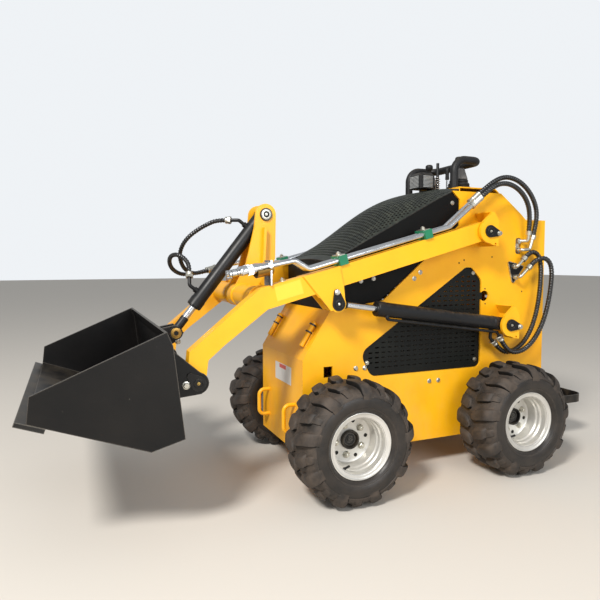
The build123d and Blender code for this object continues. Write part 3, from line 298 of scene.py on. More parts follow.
# Coated finishes: colour, darker colour, roughness, other settings
coats = {
    "yellow_paint": (
        (247, 181, 20),
        (240, 168, 14),
        0.34,
        dict(
            dust=0.14, dust_low=0.16, wear_colour=(92, 76, 56), wear=0.75, edge=0.0022,
            coat=0.08, gloss=0.4, grain=260.0, grain_height=0.00005,
        ),
    ),
    "black_paint": (
        (15, 15, 16),
        (24, 24, 25),
        0.36,
        dict(dust=0.22, dust_low=0.2, wear_colour=(120, 114, 104), wear=0.7, edge=0.0025, gloss=0.3),
    ),
    "cylinder_black": ((16, 17, 19), (26, 26, 28), 0.36, dict(dust=0.12, grain=180.0, gloss=0.34)),
    "mesh_black": (
        (26, 30, 27),
        (38, 43, 37),
        0.36,
        dict(dust=0.2, wear_colour=(110, 112, 100), wear=0.4, dust_tint=(132, 136, 118), gloss=0.26),
    ),
    "rim_zinc": (
        (226, 224, 218),
        (196, 194, 188),
        0.3,
        dict(dust=0.25, dust_low=0.2, metallic=0.6, grain=150.0, grain_height=0.0001),
    ),
    "bright_steel": ((224, 226, 228), (204, 206, 209), 0.14, dict(dust=0.16, metallic=1.0, grain=90.0)),
    "zinc_clear": ((205, 203, 194), (180, 176, 160), 0.25, dict(dust=0.2, metallic=0.9, grain=120.0)),
    "zinc_gold": ((196, 164, 92), (168, 130, 66), 0.28, dict(dust=0.2, metallic=0.85, grain=120.0)),
    "clamp_green": ((20, 122, 84), (14, 100, 68), 0.42, dict(dust=0.3, grain=200.0)),
    "black_rubber": (
        (17, 18, 19),
        (26, 26, 28),
        0.46,
        dict(dust=0.16, gloss=0.35, grain=500.0, grain_height=0.0003),
    ),
    "grey_plastic": ((112, 111, 110), (88, 87, 86), 0.5, dict(dust=0.3, grain=300.0)),
    "lamp_glass": ((176, 178, 178), (120, 122, 122), 0.16, dict(dust=0.2, coat=0.6, grain=60.0)),
    "mesh_dark": ((13, 15, 14), (20, 22, 19), 0.4, dict(dust=0.12, gloss=0.22)),
    # Near black for the hood's dome under the pierced sheet: painted shade seen through its holes
    "painted_shade_under_hood": ((8, 8, 8), (12, 12, 11), 0.5, dict(dust=0.05, gloss=0.15)),
    "label_red": ((222, 96, 84), (206, 84, 74), 0.4, dict(dust=0.2)),
    "engine_grey": ((84, 76, 66), (58, 54, 50), 0.6, dict(dust=0.6, grain=60.0, grain_height=0.002)),
    "plate_white": ((226, 226, 224), (212, 212, 210), 0.35, dict(dust=0.25)),
    "plate_yellow": ((224, 200, 52), (212, 188, 44), 0.4, dict(dust=0.2)),
    # Near black for thin discs laid where holes are: painted shade
    "hole_shade_paint": ((16, 14, 12), (24, 20, 16), 0.8, dict()),
    # Near-black rubber for the steep sides of the tyre lugs: painted shade under their edges
    "tyre_painted_shade": ((13, 12, 11), (22, 19, 17), 0.7, dict(dust=0.1, gloss=0.25)),
}
look = {name: coated(name, *row, **more) for name, (*row, more) in coats.items()}
# Scratched finishes: colour, darker colour, bare colour, roughness, amount of wear, dust, and the noise
# level over which the paint is off
scratches = {
    "bucket_paint": ((9, 9, 10), (20, 18, 17), (126, 120, 112), 0.32, 0.55, 0.12, 0.76),
    "worn_steel": ((40, 39, 38), (27, 26, 25), (140, 136, 128), 0.38, 0.62, 0.14, 0.62),
}
for name, row in scratches.items():
    look[name] = scratched(name, *row)
look["tyre_tread"] = tyre_material("tyre_tread", 0.58, 0.46)
look["tyre_side"] = tyre_material("tyre_side", 0.34, 0.14)
look["hose_wrap"] = hose_material()


class Shape:
    """Gathers a piece's points and faces. Points are in metres; profiles, radii and depths are in mm."""

    def __init__(self):
        self.points = []
        self.faces = []
        self.kinds = []

    def add(self, points, faces, kind=0):
        start = len(self.points)
        self.points += [tuple(point) for point in points]
        self.faces += [tuple(start + index for index in face) for face in faces]
        self.kinds += [kind] * len(faces)

    def loft(self, rings, closed=False, kind=0):
        """Quads between rings of as many points; closed joins the last ring to the first."""
        count = len(rings[0])
        faces = []
        spans = len(rings) if closed else len(rings) - 1
        for ring in range(spans):
            here, there = ring * count, (ring + 1) % len(rings) * count
            for index in range(count):
                after = (index + 1) % count
                faces.append((here + index, here + after, there + after, there + index))
        if not closed:
            faces.append(tuple(reversed(range(count))))
            faces.append(tuple((len(rings) - 1) * count + index for index in range(count)))
        self.add([point for ring in rings for point in ring], faces, kind)

    def turned(self, profile, origin, axis, sides, closed=False):
        """A revolve: the profile's rows are distance along the axis and radius."""
        axis = axis.normalized()
        side = axis.orthogonal().normalized()
        other = axis.cross(side)
        rings = []
        for along, radius in profile:
            rings.append(circle(origin + axis * (along * mm), side, other, sides, radius * mm))
        self.loft(rings, closed)

    def prism(self, outline, origin, x_axis, y_axis, depth):
        """An outline in a plane, extruded along the plane's normal."""
        base = [origin + x_axis * (x * mm) + y_axis * (y * mm) for x, y in outline]
        self.raised(base, x_axis.cross(y_axis).normalized(), depth)

    def raised(self, base, way, depth):
        self.loft([base, [point + way * (depth * mm) for point in base]])

    def tube(self, points, radius, sides, radius_at=None):
        """A tube along points; radius_at gives a radius for a ring's distance and angle."""
        normal = points[1] - points[0]
        normal = normal.normalized().orthogonal().normalized()
        rings = []
        travelled = 0.0
        for index, point in enumerate(points):
            before = points[max(index - 1, 0)]
            after = points[min(index + 1, len(points) - 1)]
            direction = (after - before).normalized()
            normal = (normal - direction * normal.dot(direction)).normalized()
            other = direction.cross(normal)
            travelled += (point - before).length / mm
            ring = []
            for step in range(sides):
                angle = full_turn * step / sides
                reach = (radius_at(travelled, angle) if radius_at else radius) * mm
                ring.append(point + (normal * math.cos(angle) + other * math.sin(angle)) * reach)
            rings.append(ring)
        self.loft(rings)

    def piece(self, name, body, slot_name, *finishes, smooth=35.0):
        mesh = bpy.data.meshes.new(name)
        mesh.from_pydata(self.points, [], self.faces)
        mesh.validate()
        for item in finishes:
            mesh.materials.append(look[item])
        if len(finishes) > 1:
            mesh.polygons.foreach_set("material_index", self.kinds)
        tidy = bmesh.new()
        tidy.from_mesh(mesh)
        bmesh.ops.recalc_face_normals(tidy, faces=tidy.faces)
        tidy.to_mesh(mesh)
        tidy.free()
        mesh.polygons.foreach_set("use_smooth", [True] * len(mesh.polygons))
        mesh.set_sharp_from_angle(angle=math.radians(smooth))
        item = bpy.data.objects.new(name, mesh)
        bpy.context.scene.collection.objects.link(item)
        if body:
            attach(item, body)
        return item


bolt_seat = -0.6
washer_profile = ((bolt_seat, 1.0), (1.4, 1.0), (1.8, 0.94))
washer_face = 1.0


def bolt(shape, place, normal, size, head, washer=0.0, turn=0.0, stud=0.0):
    """A chamfered hex head, with a washer under it and the stud's end over it where they are given."""
    normal = normal.normalized()
    side = normal.orthogonal().normalized()
    other = normal.cross(side)
    start = bolt_seat
    if washer:
        shape.turned([(along, washer * share) for along, share in washer_profile], place, normal, 20)
        start = washer_face
    rings = []
    for along, scale in ((start, 1.0), (start + head * 0.82, 1.0), (start + head, 0.84)):
        rings.append(circle(place + normal * (along * mm), side, other, 6, size * scale * mm, turn))
    shape.loft(rings)
    if stud:
        top = start + head
        profile = [(start, size * 0.5), (top + stud, size * 0.5), (top + stud * 1.25, size * 0.4)]
        shape.turned(profile, place, normal, 12)


bead_step = 2.2
bead_wave = 6.6


def weld(shape, points, radius):
    """A rippled bead along a line of points."""
    fine = []
    for first, second in zip(points, points[1:]):
        count = max(2, int((second - first).length / (bead_step * mm)))
        fine += [first.lerp(second, step / count) for step in range(count)]
    fine.append(points[-1])

    def ripple(travelled, angle):
        return radius * (1.0 + 0.16 * math.sin(travelled * full_turn / bead_wave))

    shape.tube(fine, radius, 8, ripple)


# Hydraulic hoses: the same route points as in the part's source, on one smooth curve each.
# A point is x, distance behind mid-wheelbase, height.
arm_a = [
    (277, 272, 1154.5), (277, 334, 1204), (277, 405, 1236), (276, 480, 1226), (273, 549, 1183),
    (269, 596, 1118), (265, 606, 1052), (262, 590, 990),
]
arm_b = [
    (315, 250, 1136.7), (315, 310, 1184.5), (311, 380, 1204), (303, 453, 1188), (292, 517, 1143),
    (279, 553, 1078), (268, 558, 1010),
]
cylinder_a = [
    (264, 546, 893), (265, 562, 908), (267, 584, 918), (268, 606, 912), (270, 621, 893),
    (272, 628, 864), (274, 629, 818), (276, 624, 752), (278, 610, 675), (279, 590, 610),
    (281, 562, 557), (282, 522, 512), (282, 470, 484), (281, 411, 481), (281, 371, 520.5),
]
cylinder_b = [
    (280, 560, 856), (283, 579, 875), (291, 602, 889), (298, 628, 889), (302, 649, 872),
    (304, 660, 842), (304, 661, 792), (304, 652, 725), (305, 635, 657), (306, 607, 590),
    (306, 566, 531), (306, 511, 490), (306, 452, 481), (306, 408.4, 499.7), (306, 380, 541.5),
]
tilt_upper = [
    (277, -745, 838), (277, -783, 827.4), (266, -821, 827), (240, -854, 843), (208, -876, 871),
    (180, -888, 905), (154, -881, 944), (130, -860, 977), (107, -830, 1003), (80, -798, 1024),
    (49, -763, 1041.5), (28, -729, 1041),
]
tilt_lower = [
    (315, -745, 838), (315, -786, 826.6), (309, -828, 820), (289, -867, 824), (256, -898, 839),
    (220, -918, 857), (184, -929, 876), (150, -932, 893), (118, -926, 904), (88, -911, 905),
    (61, -892, 892), (36.3, -876, 865.4), (22, -879, 834),
]
low_bend = 11
# Each hose: name, the bodies at its ends, diameter, side, route, the route point from which it bends
hoses = [
    ("arm_hose_left_a", "lift_arms", "chassis", 21, 1, arm_a, 0),
    ("arm_hose_left_b", "lift_arms", "chassis", 21, 1, arm_b, 0),
    ("arm_hose_right_a", "lift_arms", "chassis", 21, -1, arm_a, 0),
    ("arm_hose_right_b", "lift_arms", "chassis", 21, -1, arm_b, 0),
    ("cylinder_hose_left_a", "chassis", "left_barrel", 21, 1, cylinder_a, low_bend),
    ("cylinder_hose_left_b", "chassis", "left_barrel", 21, 1, cylinder_b, low_bend),
    ("cylinder_hose_right_a", "chassis", "right_barrel", 21, -1, cylinder_a, low_bend),
    ("cylinder_hose_right_b", "chassis", "right_barrel", 21, -1, cylinder_b, low_bend),
    ("tilt_hose_upper", "lift_arms", "mast_barrel", 18, -1, tilt_upper, 0),
    ("tilt_hose_lower", "lift_arms", "mast_barrel", 18, -1, tilt_lower, 0),
]
# The spiral guard: its pitch, the share of it that the ribbon takes, the ribbon's thickness, the share of
# its rounded edge
wrap_pitch, wrap_width, wrap_depth, wrap_edge = 11.5, 0.62, 1.9, 0.12
ring_step = 2


def smooth_line(name, points):
    """Points close together along the one smooth curve through the route."""
    curve = bpy.data.curves.new(name, "CURVE")
    curve.dimensions = "3D"
    curve.resolution_u = 24
    spline = curve.splines.new("NURBS")
    spline.points.add(len(points) - 1)
    for place, point in zip(points, spline.points):
        point.co = (*place, 1.0)
    spline.order_u = 3
    spline.use_endpoint_u = True
    holder = bpy.data.objects.new(name, curve)
    bpy.context.scene.collection.objects.link(holder)
    bpy.context.view_layer.update()
    mesh = bpy.data.meshes.new_from_object(holder)
    line = [vertex.co.copy() for vertex in mesh.vertices]
    bpy.data.objects.remove(holder)
    bpy.data.meshes.remove(mesh)
    return line


def even_line(line, step):
    """The same line with points an even step apart, and its length."""
    spans = [(after - point).length for point, after in zip(line, line[1:])]
    total = sum(spans)
    count = round(total / step)
    points = []
    travelled = 0.0
    index = 0
    for number in range(count + 1):
        distance = total * number / count
        while index < len(spans) - 1 and travelled + spans[index] < distance:
            travelled += spans[index]
            index += 1
        share = min(1.0, (distance - travelled) / spans[index])
        points.append(line[index].lerp(line[index + 1], share))
    return points, total


def make_hose(name, first_body, last_body, width, side, route, bend_from):
    route = [(side * x * mm, mid_y + y * mm, z * mm) for x, y, z in route]
    line = smooth_line(name + "_line", route)
    points, length = even_line(line, ring_step * mm)

    def wrapped(travelled, angle):
        """A flat ribbon with rounded edges and a narrow groove between its turns."""
        turn = (travelled / wrap_pitch - angle / full_turn) % 1.0
        edge = max(0.0, min(turn, wrap_width - turn))
        rise = min(1.0, edge / wrap_edge) ** 0.5
        return width / 2 - wrap_depth + wrap_depth * rise

    shape = Shape()
    shape.tube(points, width / 2, 20, wrapped)
    hose = shape.piece(name + "_wrap", None, "hose_rubber", "hose_wrap", smooth=60)
    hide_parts(name)
    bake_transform(hose)


for row in hoses:
    make_hose(*row)


# Wheels. Across is measured from the wheel's middle, outward positive; up is the wheel's own zero angle.
wheel_x, axle_z, half_base = 379.5, 228.5, 383.5
# Half of the tyre's section from its middle to the bead: distance across, radius
tyre_section = [
    (0, 212.2), (30, 211.9), (55, 210.4), (72, 207.5), (86, 202.2), (96, 194.5), (101.5, 187),
    (103.5, 183.5), (104.5, 181.5), (104.2, 179.7), (102.2, 178.7), (103.2, 176), (105.2, 168.5),
    (106, 159.5), (105.5, 150), (103.5, 141.5), (100, 133.5), (95.5, 127.5), (91.5, 123.8),
    (88.5, 122.2), (85.8, 120.5), (84.5, 117), (83.8, 101.8),
]
tyre_steps = 108
sidewall_radius = 179.5
lugs_per_side = 18
lug_pitch = full_turn / lugs_per_side
# How a lug leans: the slope, and the distance across and radius that the lean is measured from
lug_slope, lean_across, lean_radius = math.tan(math.radians(14)), 42, 220
# Each kind of lug: the number of its first one, half its width, and its top line from the inner end to
# the shoulder as distance across and radius. The second kind has ribs past its end.
long_top = [
    (5, 227.2), (30, 227.6), (60, 227), (78, 224.5), (90, 216.5), (98.5, 205.5), (103.5, 193.5),
    (104.8, 184.5),
]
short_top = [(10, 227.3), (34, 227.6), (54, 226.8), (67, 224.5), (73.5, 220.5), (77, 216.5)]
pad_top = [(68, 213.5), (78, 211.5), (88, 206.5), (95, 200.5), (100.5, 192.5)]
lug_kinds = [(0, 22.8, long_top), (1, 22.6, short_top), (1, 13.5, pad_top)]
# Across a lug, from its worn edge to its steep one: share of half the width, share of the height
lug_outline = [
    (-1.34, 0.0), (-1.2, 0.4), (-1.08, 0.66), (-0.93, 0.85), (-0.72, 0.955), (-0.45, 0.992), (0.0, 1.0),
    (0.74, 0.998), (0.9, 0.975), (0.97, 0.92), (0.995, 0.8), (0.97, 0.45), (0.94, 0.0),
]
# The third tyre finish darkens the lugs' steep sides as painted shade
tyre_finishes = ("tyre_tread", "tyre_side", "tyre_painted_shade")
lug_sections = 17
lug_root = 4
# How many strips on a lug's steep side get the painted shade
shaded_strips = 5
# A rib's section, and a sidewall line's: distance round and height, distance across and radius
rib_section = [(-1.4, -1), (-0.8, 2), (0.8, 2), (1.4, -1)]
rib_count = 8
line_section = [(100, 134.5), (102.6, 135.2), (103.4, 137.5), (100, 138.2)]
line_steps = 72


class Wheel:
    """Places points of a wheel: across its width, a radius, and an angle from straight up."""

    def __init__(self, side, axle_y):
        self.side = side
        self.centre = at(side * wheel_x, axle_y, axle_z)

    def point(self, across, radius, angle):
        up, ahead = math.cos(angle) * radius, math.sin(angle) * radius
        return self.centre + Vector((self.side * across, -ahead, up)) * mm


def along_line(line, share):
    """The point of a line of pairs at a share of its length."""
    lengths = [math.dist(a, b) for a, b in zip(line, line[1:])]
    distance = share * sum(lengths)
    for first, second, length in zip(line, line[1:], lengths):
        if distance <= length or second is line[-1]:
            part = distance / length
            return [a + (b - a) * part for a, b in zip(first, second)]
        distance -= length


def carcass_radius(across):
    for (a, low), (b, high) in zip(tyre_section, tyre_section[1:]):
        if a <= across <= b:
            return low + (high - low) * (across - a) / (b - a)


def make_tyre(name, side, axle_y, body):
    wheel = Wheel(side, axle_y)
    shape = Shape()
    section = [(-across, radius) for across, radius in reversed(tyre_section[1:])] + tyre_section
    angles = [full_turn * step / tyre_steps for step in range(tyre_steps)]
    shape.loft([[wheel.point(*row, angle) for row in section] for angle in angles], closed=True)
    for row, (first, second) in enumerate(zip(section, section[1:] + section[:1])):
        if (first[1] + second[1]) / 2 <= sidewall_radius:
            shape.kinds[row :: len(section)] = [1] * tyre_steps
    for way in (1, -1):
        shift = (1 - way) / 4
        for start, half, line in lug_kinds:
            for count in range(start, lugs_per_side, 2):
                add_lug(shape, wheel, line, half, way, (count + shift) * lug_pitch)
        for count in range(1, lugs_per_side, 2):
            add_ribs(shape, wheel, way, (count + shift) * lug_pitch)
        add_sidewall_line(shape, wheel, way)
    tyre = shape.piece(name + "_rubber", body, "tyre", *tyre_finishes, smooth=38)
    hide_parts(name)


def add_lug(shape, wheel, line, half, way, middle):
    """A tongue that leans back from the tyre's middle to its shoulder, round at its ends and edges."""
    rings = []
    for index in range(lug_sections):
        share = index / (lug_sections - 1)
        eased = 0.5 - 0.5 * math.cos(math.pi * share) if share < 0.5 else share
        across, top = along_line(line, eased)
        angle = middle - (across - lean_across) * lug_slope / lean_radius
        inner = min(1.0, (eased + 0.012) / 0.24)
        outer = min(1.0, (1.0 - eased + 0.02) / 0.16)
        round_in = math.sqrt(1 - (1 - inner) ** 2)
        round_out = math.sqrt(1 - (1 - outer) ** 2)
        width = half * round_in * (0.55 + 0.45 * round_out) * (1.0 - 0.22 * max(0.0, eased - 0.55))
        base = carcass_radius(across) - lug_root
        depth = top - 2.4 * (1 - round_in) - base
        ring = []
        for sideways, height in lug_outline:
            radius = base + depth * height
            ring.append(wheel.point(way * across, radius, angle + sideways * width / radius))
        rings.append(ring)
    first = len(shape.kinds)
    shape.loft(rings)
    strips = len(lug_outline)
    for face in range((lug_sections - 1) * strips):
        # The strips on the lug's steep side take the darker finish: painted shade
        if face % strips >= strips - shaded_strips:
            shape.kinds[first + face] = 2


def add_ribs(shape, wheel, way, middle):
    """Fine ribs on the shoulder, past the end of a short lug."""
    for index in range(rib_count):
        angle = middle + (index - (rib_count - 1) / 2) * 0.021 - 0.1
        rings = []
        for share in (0.0, 0.25, 0.5, 0.75, 1.0):
            across = 74 + 26 * share
            base = carcass_radius(across)
            turn = angle - (across - 88) * 0.0045
            spots = [(base + height, turn + sideways / base) for sideways, height in rib_section]
            rings.append([wheel.point(way * across, *spot) for spot in spots])
        shape.loft(rings)


def add_sidewall_line(shape, wheel, way):
    """The fine raised line round the lower sidewall."""
    rings = []
    for step in range(line_steps):
        angle = full_turn * step / line_steps
        rings.append([wheel.point(way * across, radius, angle) for across, radius in line_section])
    shape.loft(rings, closed=True, kind=1)


# The rim's section, outer face first: distance across, radius. It runs out along the dished side and
# back along the tyre's side.
rim_front = [
    (88.8, 120.5), (89.3, 119.2), (89.3, 117.8), (88.4, 116.6), (86.8, 115), (85.7, 112.5),
    (85.2, 107.5), (84.5, 103.5), (83, 101), (80, 99.4), (75, 98.8), (61, 98.4), (58.5, 97.8),
    (56.5, 96.2), (54, 94.2), (51.5, 93.2), (44, 92.7), (41.5, 92), (39, 90), (36.5, 88.4), (34, 87.6),
    (27, 86.8), (1, 86.2),
]
rim_back = [
    (-1, 86.2), (-33.5, 86.6), (-38.5, 88.5), (-45.5, 95.8), (-50, 98.2), (-80, 99.4), (-84.5, 103.5),
    (-85.7, 112.5), (-88.4, 116.6), (-89.3, 118.5), (-88.5, 120), (-87, 119.5), (-83.8, 112),
    (-83.5, 101.4), (83.5, 101.4), (83.8, 112), (87, 119.5),
]
disc_face = -6
stud_circle, stud_count = 114.3, 5
# Sections of the disc, hub and shaft end, and of a nut's seat, a hole's painted shade and the valve:
# distance out, radius
disc = [(-6.5, 87), (4, 87), (1.5, 83.5), (0, 79.5), (0, 35.5), (-4.5, 35.5)]
hub_section = [
    (-40.5, 22), (-40.5, 45), (-4.5, 45), (-4.5, 35.2), (12.5, 35.2), (14.8, 33.8), (14.8, 28.8),
    (12.5, 27.5), (3, 26.8), (3, 22),
]
shaft_end = (
    (32, [(2, 23.5), (2, 23.2), (4.5, 22.5)]),
    (6, [(4, 12.5), (8.5, 12.5), (9.8, 10.8)]),
    (16, [(9, 4.8), (11.2, 4.8)]),
)
nut_seat = [(-1, 12.8), (2.2, 12.8), (4.2, 11.2), (4.2, 9)]
rim_hole_shade = [(-0.2, 7.2), (0.4, 7.2)]
valve_stem = [(-2, 6.8), (3, 6.8), (6.2, 4.5), (17, 3.8), (18.5, 3.6)]
valve_cap = [(17.5, 4.2), (26.5, 4.2), (27.5, 3.4)]
valve_turn = 2.15


def make_rim(name, side, axle_y, body, turn):
    wheel = Wheel(side, axle_y)
    axis = x_way * side
    face = wheel.point(disc_face, 0, 0)
    steel, hub, end, studs, hole_shades, valve = (Shape() for _ in range(6))
    steel.turned(rim_front + rim_back, wheel.centre, axis, 72, closed=True)
    steel.turned(disc, face, axis, 72)
    rim = steel.piece(name + "_steel", body, "rim_zinc", "rim_zinc", smooth=32)
    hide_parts(name)

    hub.turned(hub_section, face, axis, 48, closed=True)
    hub.piece(name + "_hub", body, "black_paint", "black_paint")
    for sides, profile in shaft_end:
        end.turned(profile, face, axis, sides)
    end.piece(name + "_shaft_end", body, "worn_steel", "worn_steel")

    for step in range(stud_count):
        angle = full_turn * step / stud_count + turn
        place = wheel.point(disc_face, stud_circle / 2, angle)
        studs.turned(nut_seat, place, axis, 24)
        bolt(studs, place + axis * (3 * mm), axis, 11.2, 10.5, turn=angle, stud=2.8)
        between = wheel.point(disc_face + 0.2, 68, angle + math.pi / stud_count)
        # A thin dark disc on the face between two studs: painted shade for a hole through the disc
        hole_shades.turned(rim_hole_shade, between, axis, 24)
    studs.piece(name + "_nuts", body, "rim_zinc", "zinc_clear")
    hole_shades.piece(name + "_holes", body, "rim_zinc", "hole_shade_paint")

    place = wheel.point(61, 98.4, turn + valve_turn)
    inward = (wheel.point(61, 50, turn + valve_turn) - place).normalized()
    way_out = (inward * 0.72 + axis * 0.7).normalized()
    valve.turned(valve_stem, place, way_out, 16)
    valve.turned(valve_cap, place, way_out, 12)
    valve.piece(name + "_valve", body, "black_rubber", "black_rubber")


# Each wheel: corner, side, axle's place, how far its rim is turned
wheels = [
    ("front_left", 1, -half_base, 0.4),
    ("front_right", -1, -half_base, 1.1),
    ("rear_left", 1, half_base, 0.1),
    ("rear_right", -1, half_base, 0.8),
]
for corner, side, axle_y, turn in wheels:
    body = "wheel_" + corner
    make_tyre("tyre_" + corner, side, axle_y, body)
    make_rim("rim_" + corner, side, axle_y, body, turn)


# Finishes for the nodes that keep their solid's shape
node_looks = {
    "yellow_paint": (
        "side_plates", "nose_shell", "belly_plate", "rear_panel", "tower_cover", "pivot_ears", "arm_left",
        "arm_right", "cross_tube", "tilt_mast", "tie_down_loops",
    ),
    "black_paint": ("pivot_pins", "arm_pins", "attach_pins", "axle_stubs", "platform", "work_lamp"),
    # The hood's dome shows through the sheet's holes as painted shade
    "painted_shade_under_hood": ("hood",),
    "engine_grey": ("engine_block",),
    "black_rubber": ("hand_rail",),
    "zinc_clear": ("hose_ports",),
    "bright_steel": ("arm_pipes", "lift_rod_left", "lift_rod_right", "tilt_rod"),
    "clamp_green": ("pipe_clamps",),
    "bucket_paint": ("attach_plate", "bucket_shell"),
    "worn_steel": ("cutting_edge",),
    "cylinder_black": ("lift_barrel_left", "lift_barrel_right", "tilt_barrel"),
}
for key, names in node_looks.items():
    for name in names:
        for item in nodes[name].material_slots:
            item.material = look[key]

# Rounded edges on the folded and cut plates, so that they catch the light: width, nodes
edge_rounds = {
    0.8: ("rear_panel",),
    1.2: (
        "side_plates", "pivot_pins", "arm_pins", "attach_pins", "bucket_shell", "cutting_edge",
        "platform", "pipe_clamps", "work_lamp",
    ),
    1.4: ("pivot_ears", "tilt_mast", "attach_plate"),
    1.5: ("nose_shell", "tower_cover"),
    2.6: ("arm_left", "arm_right"),
}
for width, names in edge_rounds.items():
    for name in names:
        bevel = nodes[name].modifiers.new("edge_round", "BEVEL")
        bevel.width = width * mm
        bevel.segments = 2
        bevel.limit_method = "ANGLE"
        bevel.angle_limit = math.radians(40)
        bevel.harden_normals = True


def surface_of(name):
    """Finds points on a carried-over node's solid."""
    return BVHTree.FromObject(nodes[name], bpy.context.evaluated_depsgraph_get())


# Hood: a pierced sheet over the dome, with a rolled edge along each side. Cells that only touch the
# sheet's side, within the slack, are left out.
# The carried-over dome under the sheet is painted near black: painted shade seen through the holes
hood_tree = surface_of("hood")
hood_columns, hood_rows = 32, 43
hood_half, hood_front, hood_rear = 222.5, -383.5, 210.5
hood_lift, hood_depth = 2.2, 1.4
hood_border = 12
hole_share = 0.38
cell_ring = [(0, 0), (0.5, 0), (1, 0), (1, 0.5), (1, 1), (0.5, 1), (0, 1), (0, 0.5)]
slack = 0.001
roll_radius = 2.2


def hood_point(x, y, drop=0.0):
    """A point of the sheet over the dome, lower by drop."""
    place = at(max(-hood_half, min(hood_half, x)), y, 2000)
    place.z = hood_tree.ray_cast(place, -z_way)[0].z + (hood_lift - drop) * mm
    return place


def make_hood():
    sheet, edges = Shape(), Shape()
    wide = 2 * hood_half / hood_columns
    long = (hood_rear - hood_front) / hood_rows
    for row in range(hood_rows):
        near = hood_front + row * long
        for column in range(-1, hood_columns + 1):
            left = -hood_half + (column + row % 2 / 2) * wide
            if left >= hood_half - slack or left + wide <= slack - hood_half:
                continue
            middle = Vector((left + wide / 2, near + long / 2, 0))
            outer = [hood_point(left + a * wide, near + b * long) for a, b in cell_ring]
            if not 1 < row < hood_rows - 2 or abs(middle.x) >= hood_half - hood_border:
                sheet.add(outer, [tuple(range(8))])
                continue
            hole = circle(middle, x_way * wide, y_way * long, 8, hole_share, math.radians(225))
            inner = [hood_point(place.x, place.y) for place in hole]
            floor = [hood_point(place.x, place.y, hood_depth) for place in hole]
            faces = []
            for step in range(8):
                after = (step + 1) % 8
                faces.append((step, after, 8 + after, 8 + step))
                faces.append((8 + step, 8 + after, 16 + after, 16 + step))
            sheet.add(outer + inner + floor, faces)
    sheet.piece("hood_pierced_sheet", "chassis", "mesh_black", "mesh_black", smooth=30)
    for side in (1, -1):
        places = [hood_front + (hood_rear - hood_front) * step / 40 for step in range(41)]
        edges.tube([hood_point(side * hood_half, y, 1.2) for y in places], roll_radius, 10)
    places = [-hood_half + 2 * hood_half * step / 24 for step in range(25)]
    edges.tube([hood_point(x, hood_front, 0.6) for x in places], roll_radius, 10)
    edges.piece("hood_rolled_edges", "chassis", "mesh_black", "black_paint")


make_hood()

# Side mesh: a slotted sheet behind each cooling opening, larger than it all round
opening_corners = [(-212, 417), (333, 417), (333, 795), (280, 850), (246, 850), (-262, 514)]
sheet_x, sheet_overlap, sheet_thick = 223.6, 14, 2
slot_start, slot_pitch, slot_rows, slot_columns = (-270, 410), (30, 20), 24, 22
slot_half, slot_round = 9.5, 2.75
slot_margin = 17


def distance_inside(y, z):
    """How far a point is inside the opening's straight-sided outline."""
    least = math.inf
    for first, second in zip(opening_corners, opening_corners[1:] + opening_corners[:1]):
        run, rise = second[0] - first[0], second[1] - first[1]
        least = min(least, (run * (z - first[1]) - rise * (y - first[0])) / math.hypot(run, rise))
    return least


def slot_loop(y, z):
    loop = []
    for way in (-1, 1):
        for step in range(5):
            angle = math.radians(45 * step - 90 * way)
            end = y + way * (slot_half - slot_round)
            loop.append((end + math.cos(angle) * slot_round, z + math.sin(angle) * slot_round))
    return loop


def make_side_mesh(side):
    centre = [sum(corner[i] for corner in opening_corners) / len(opening_corners) for i in (0, 1)]
    outline = []
    for y, z in opening_corners:
        grow = 1 + sheet_overlap / math.hypot(y - centre[0], z - centre[1])
        outline.append((centre[0] + (y - centre[0]) * grow, centre[1] + (z - centre[1]) * grow))
    loops = [outline]
    for row in range(slot_rows):
        z = slot_start[1] + row * slot_pitch[1]
        for column in range(slot_columns):
            y = slot_start[0] + column * slot_pitch[0]
            if min(distance_inside(y - slot_half, z), distance_inside(y + slot_half, z)) >= slot_margin:
                loops.append(slot_loop(y, z))
    name = "slotted_sheet_left" if side > 0 else "slotted_sheet_right"
    mesh = bpy.data.meshes.new(name)
    work = bmesh.new()
    for loop in loops:
        corners = [work.verts.new(at(side * sheet_x, y, z)) for y, z in loop]
        for first, second in zip(corners, corners[1:] + corners[:1]):
            work.edges.new((first, second))
    bmesh.ops.triangle_fill(work, edges=work.edges, use_beauty=True, use_dissolve=False)
    bmesh.ops.recalc_face_normals(work, faces=work.faces)
    bmesh.ops.solidify(work, geom=work.faces, thickness=side * sheet_thick * mm)
    work.to_mesh(mesh)
    work.free()
    mesh.materials.append(look["mesh_dark"])
    item = bpy.data.objects.new(name, mesh)
    bpy.context.scene.collection.objects.link(item)
    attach(item, "chassis")
    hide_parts("mesh_panels")


for side in (1, -1):
    make_side_mesh(side)

# Bolts through the side plates and the mesh, and the small drilled holes, each a thin dark disc of
# painted shade with a yellow rim: behind mid-wheelbase, height
plate_x, panel_x = 232, 224
plate_bolts = [(17, 831), (-12, 806), (-281, 456), (-241, 455), (68, 376), (113, 376)]
panel_bolts = [(-226, 472), (310, 450), (294, 826), (-255, 799), (-198, 808), (-68, 960), (178, 1120)]
drilled_hole_shades = [
    (212, 869), (238, 881), (388, 895), (561, 741), (655, 694), (542, 536), (353, 757), (355, 692),
]
plate_hole_shade = [(-0.2, 3.4), (0.3, 3.4)]
drilled_rim = [(-0.2, 3.4), (0.5, 3.6), (0.5, 4.4), (-0.2, 4.7)]


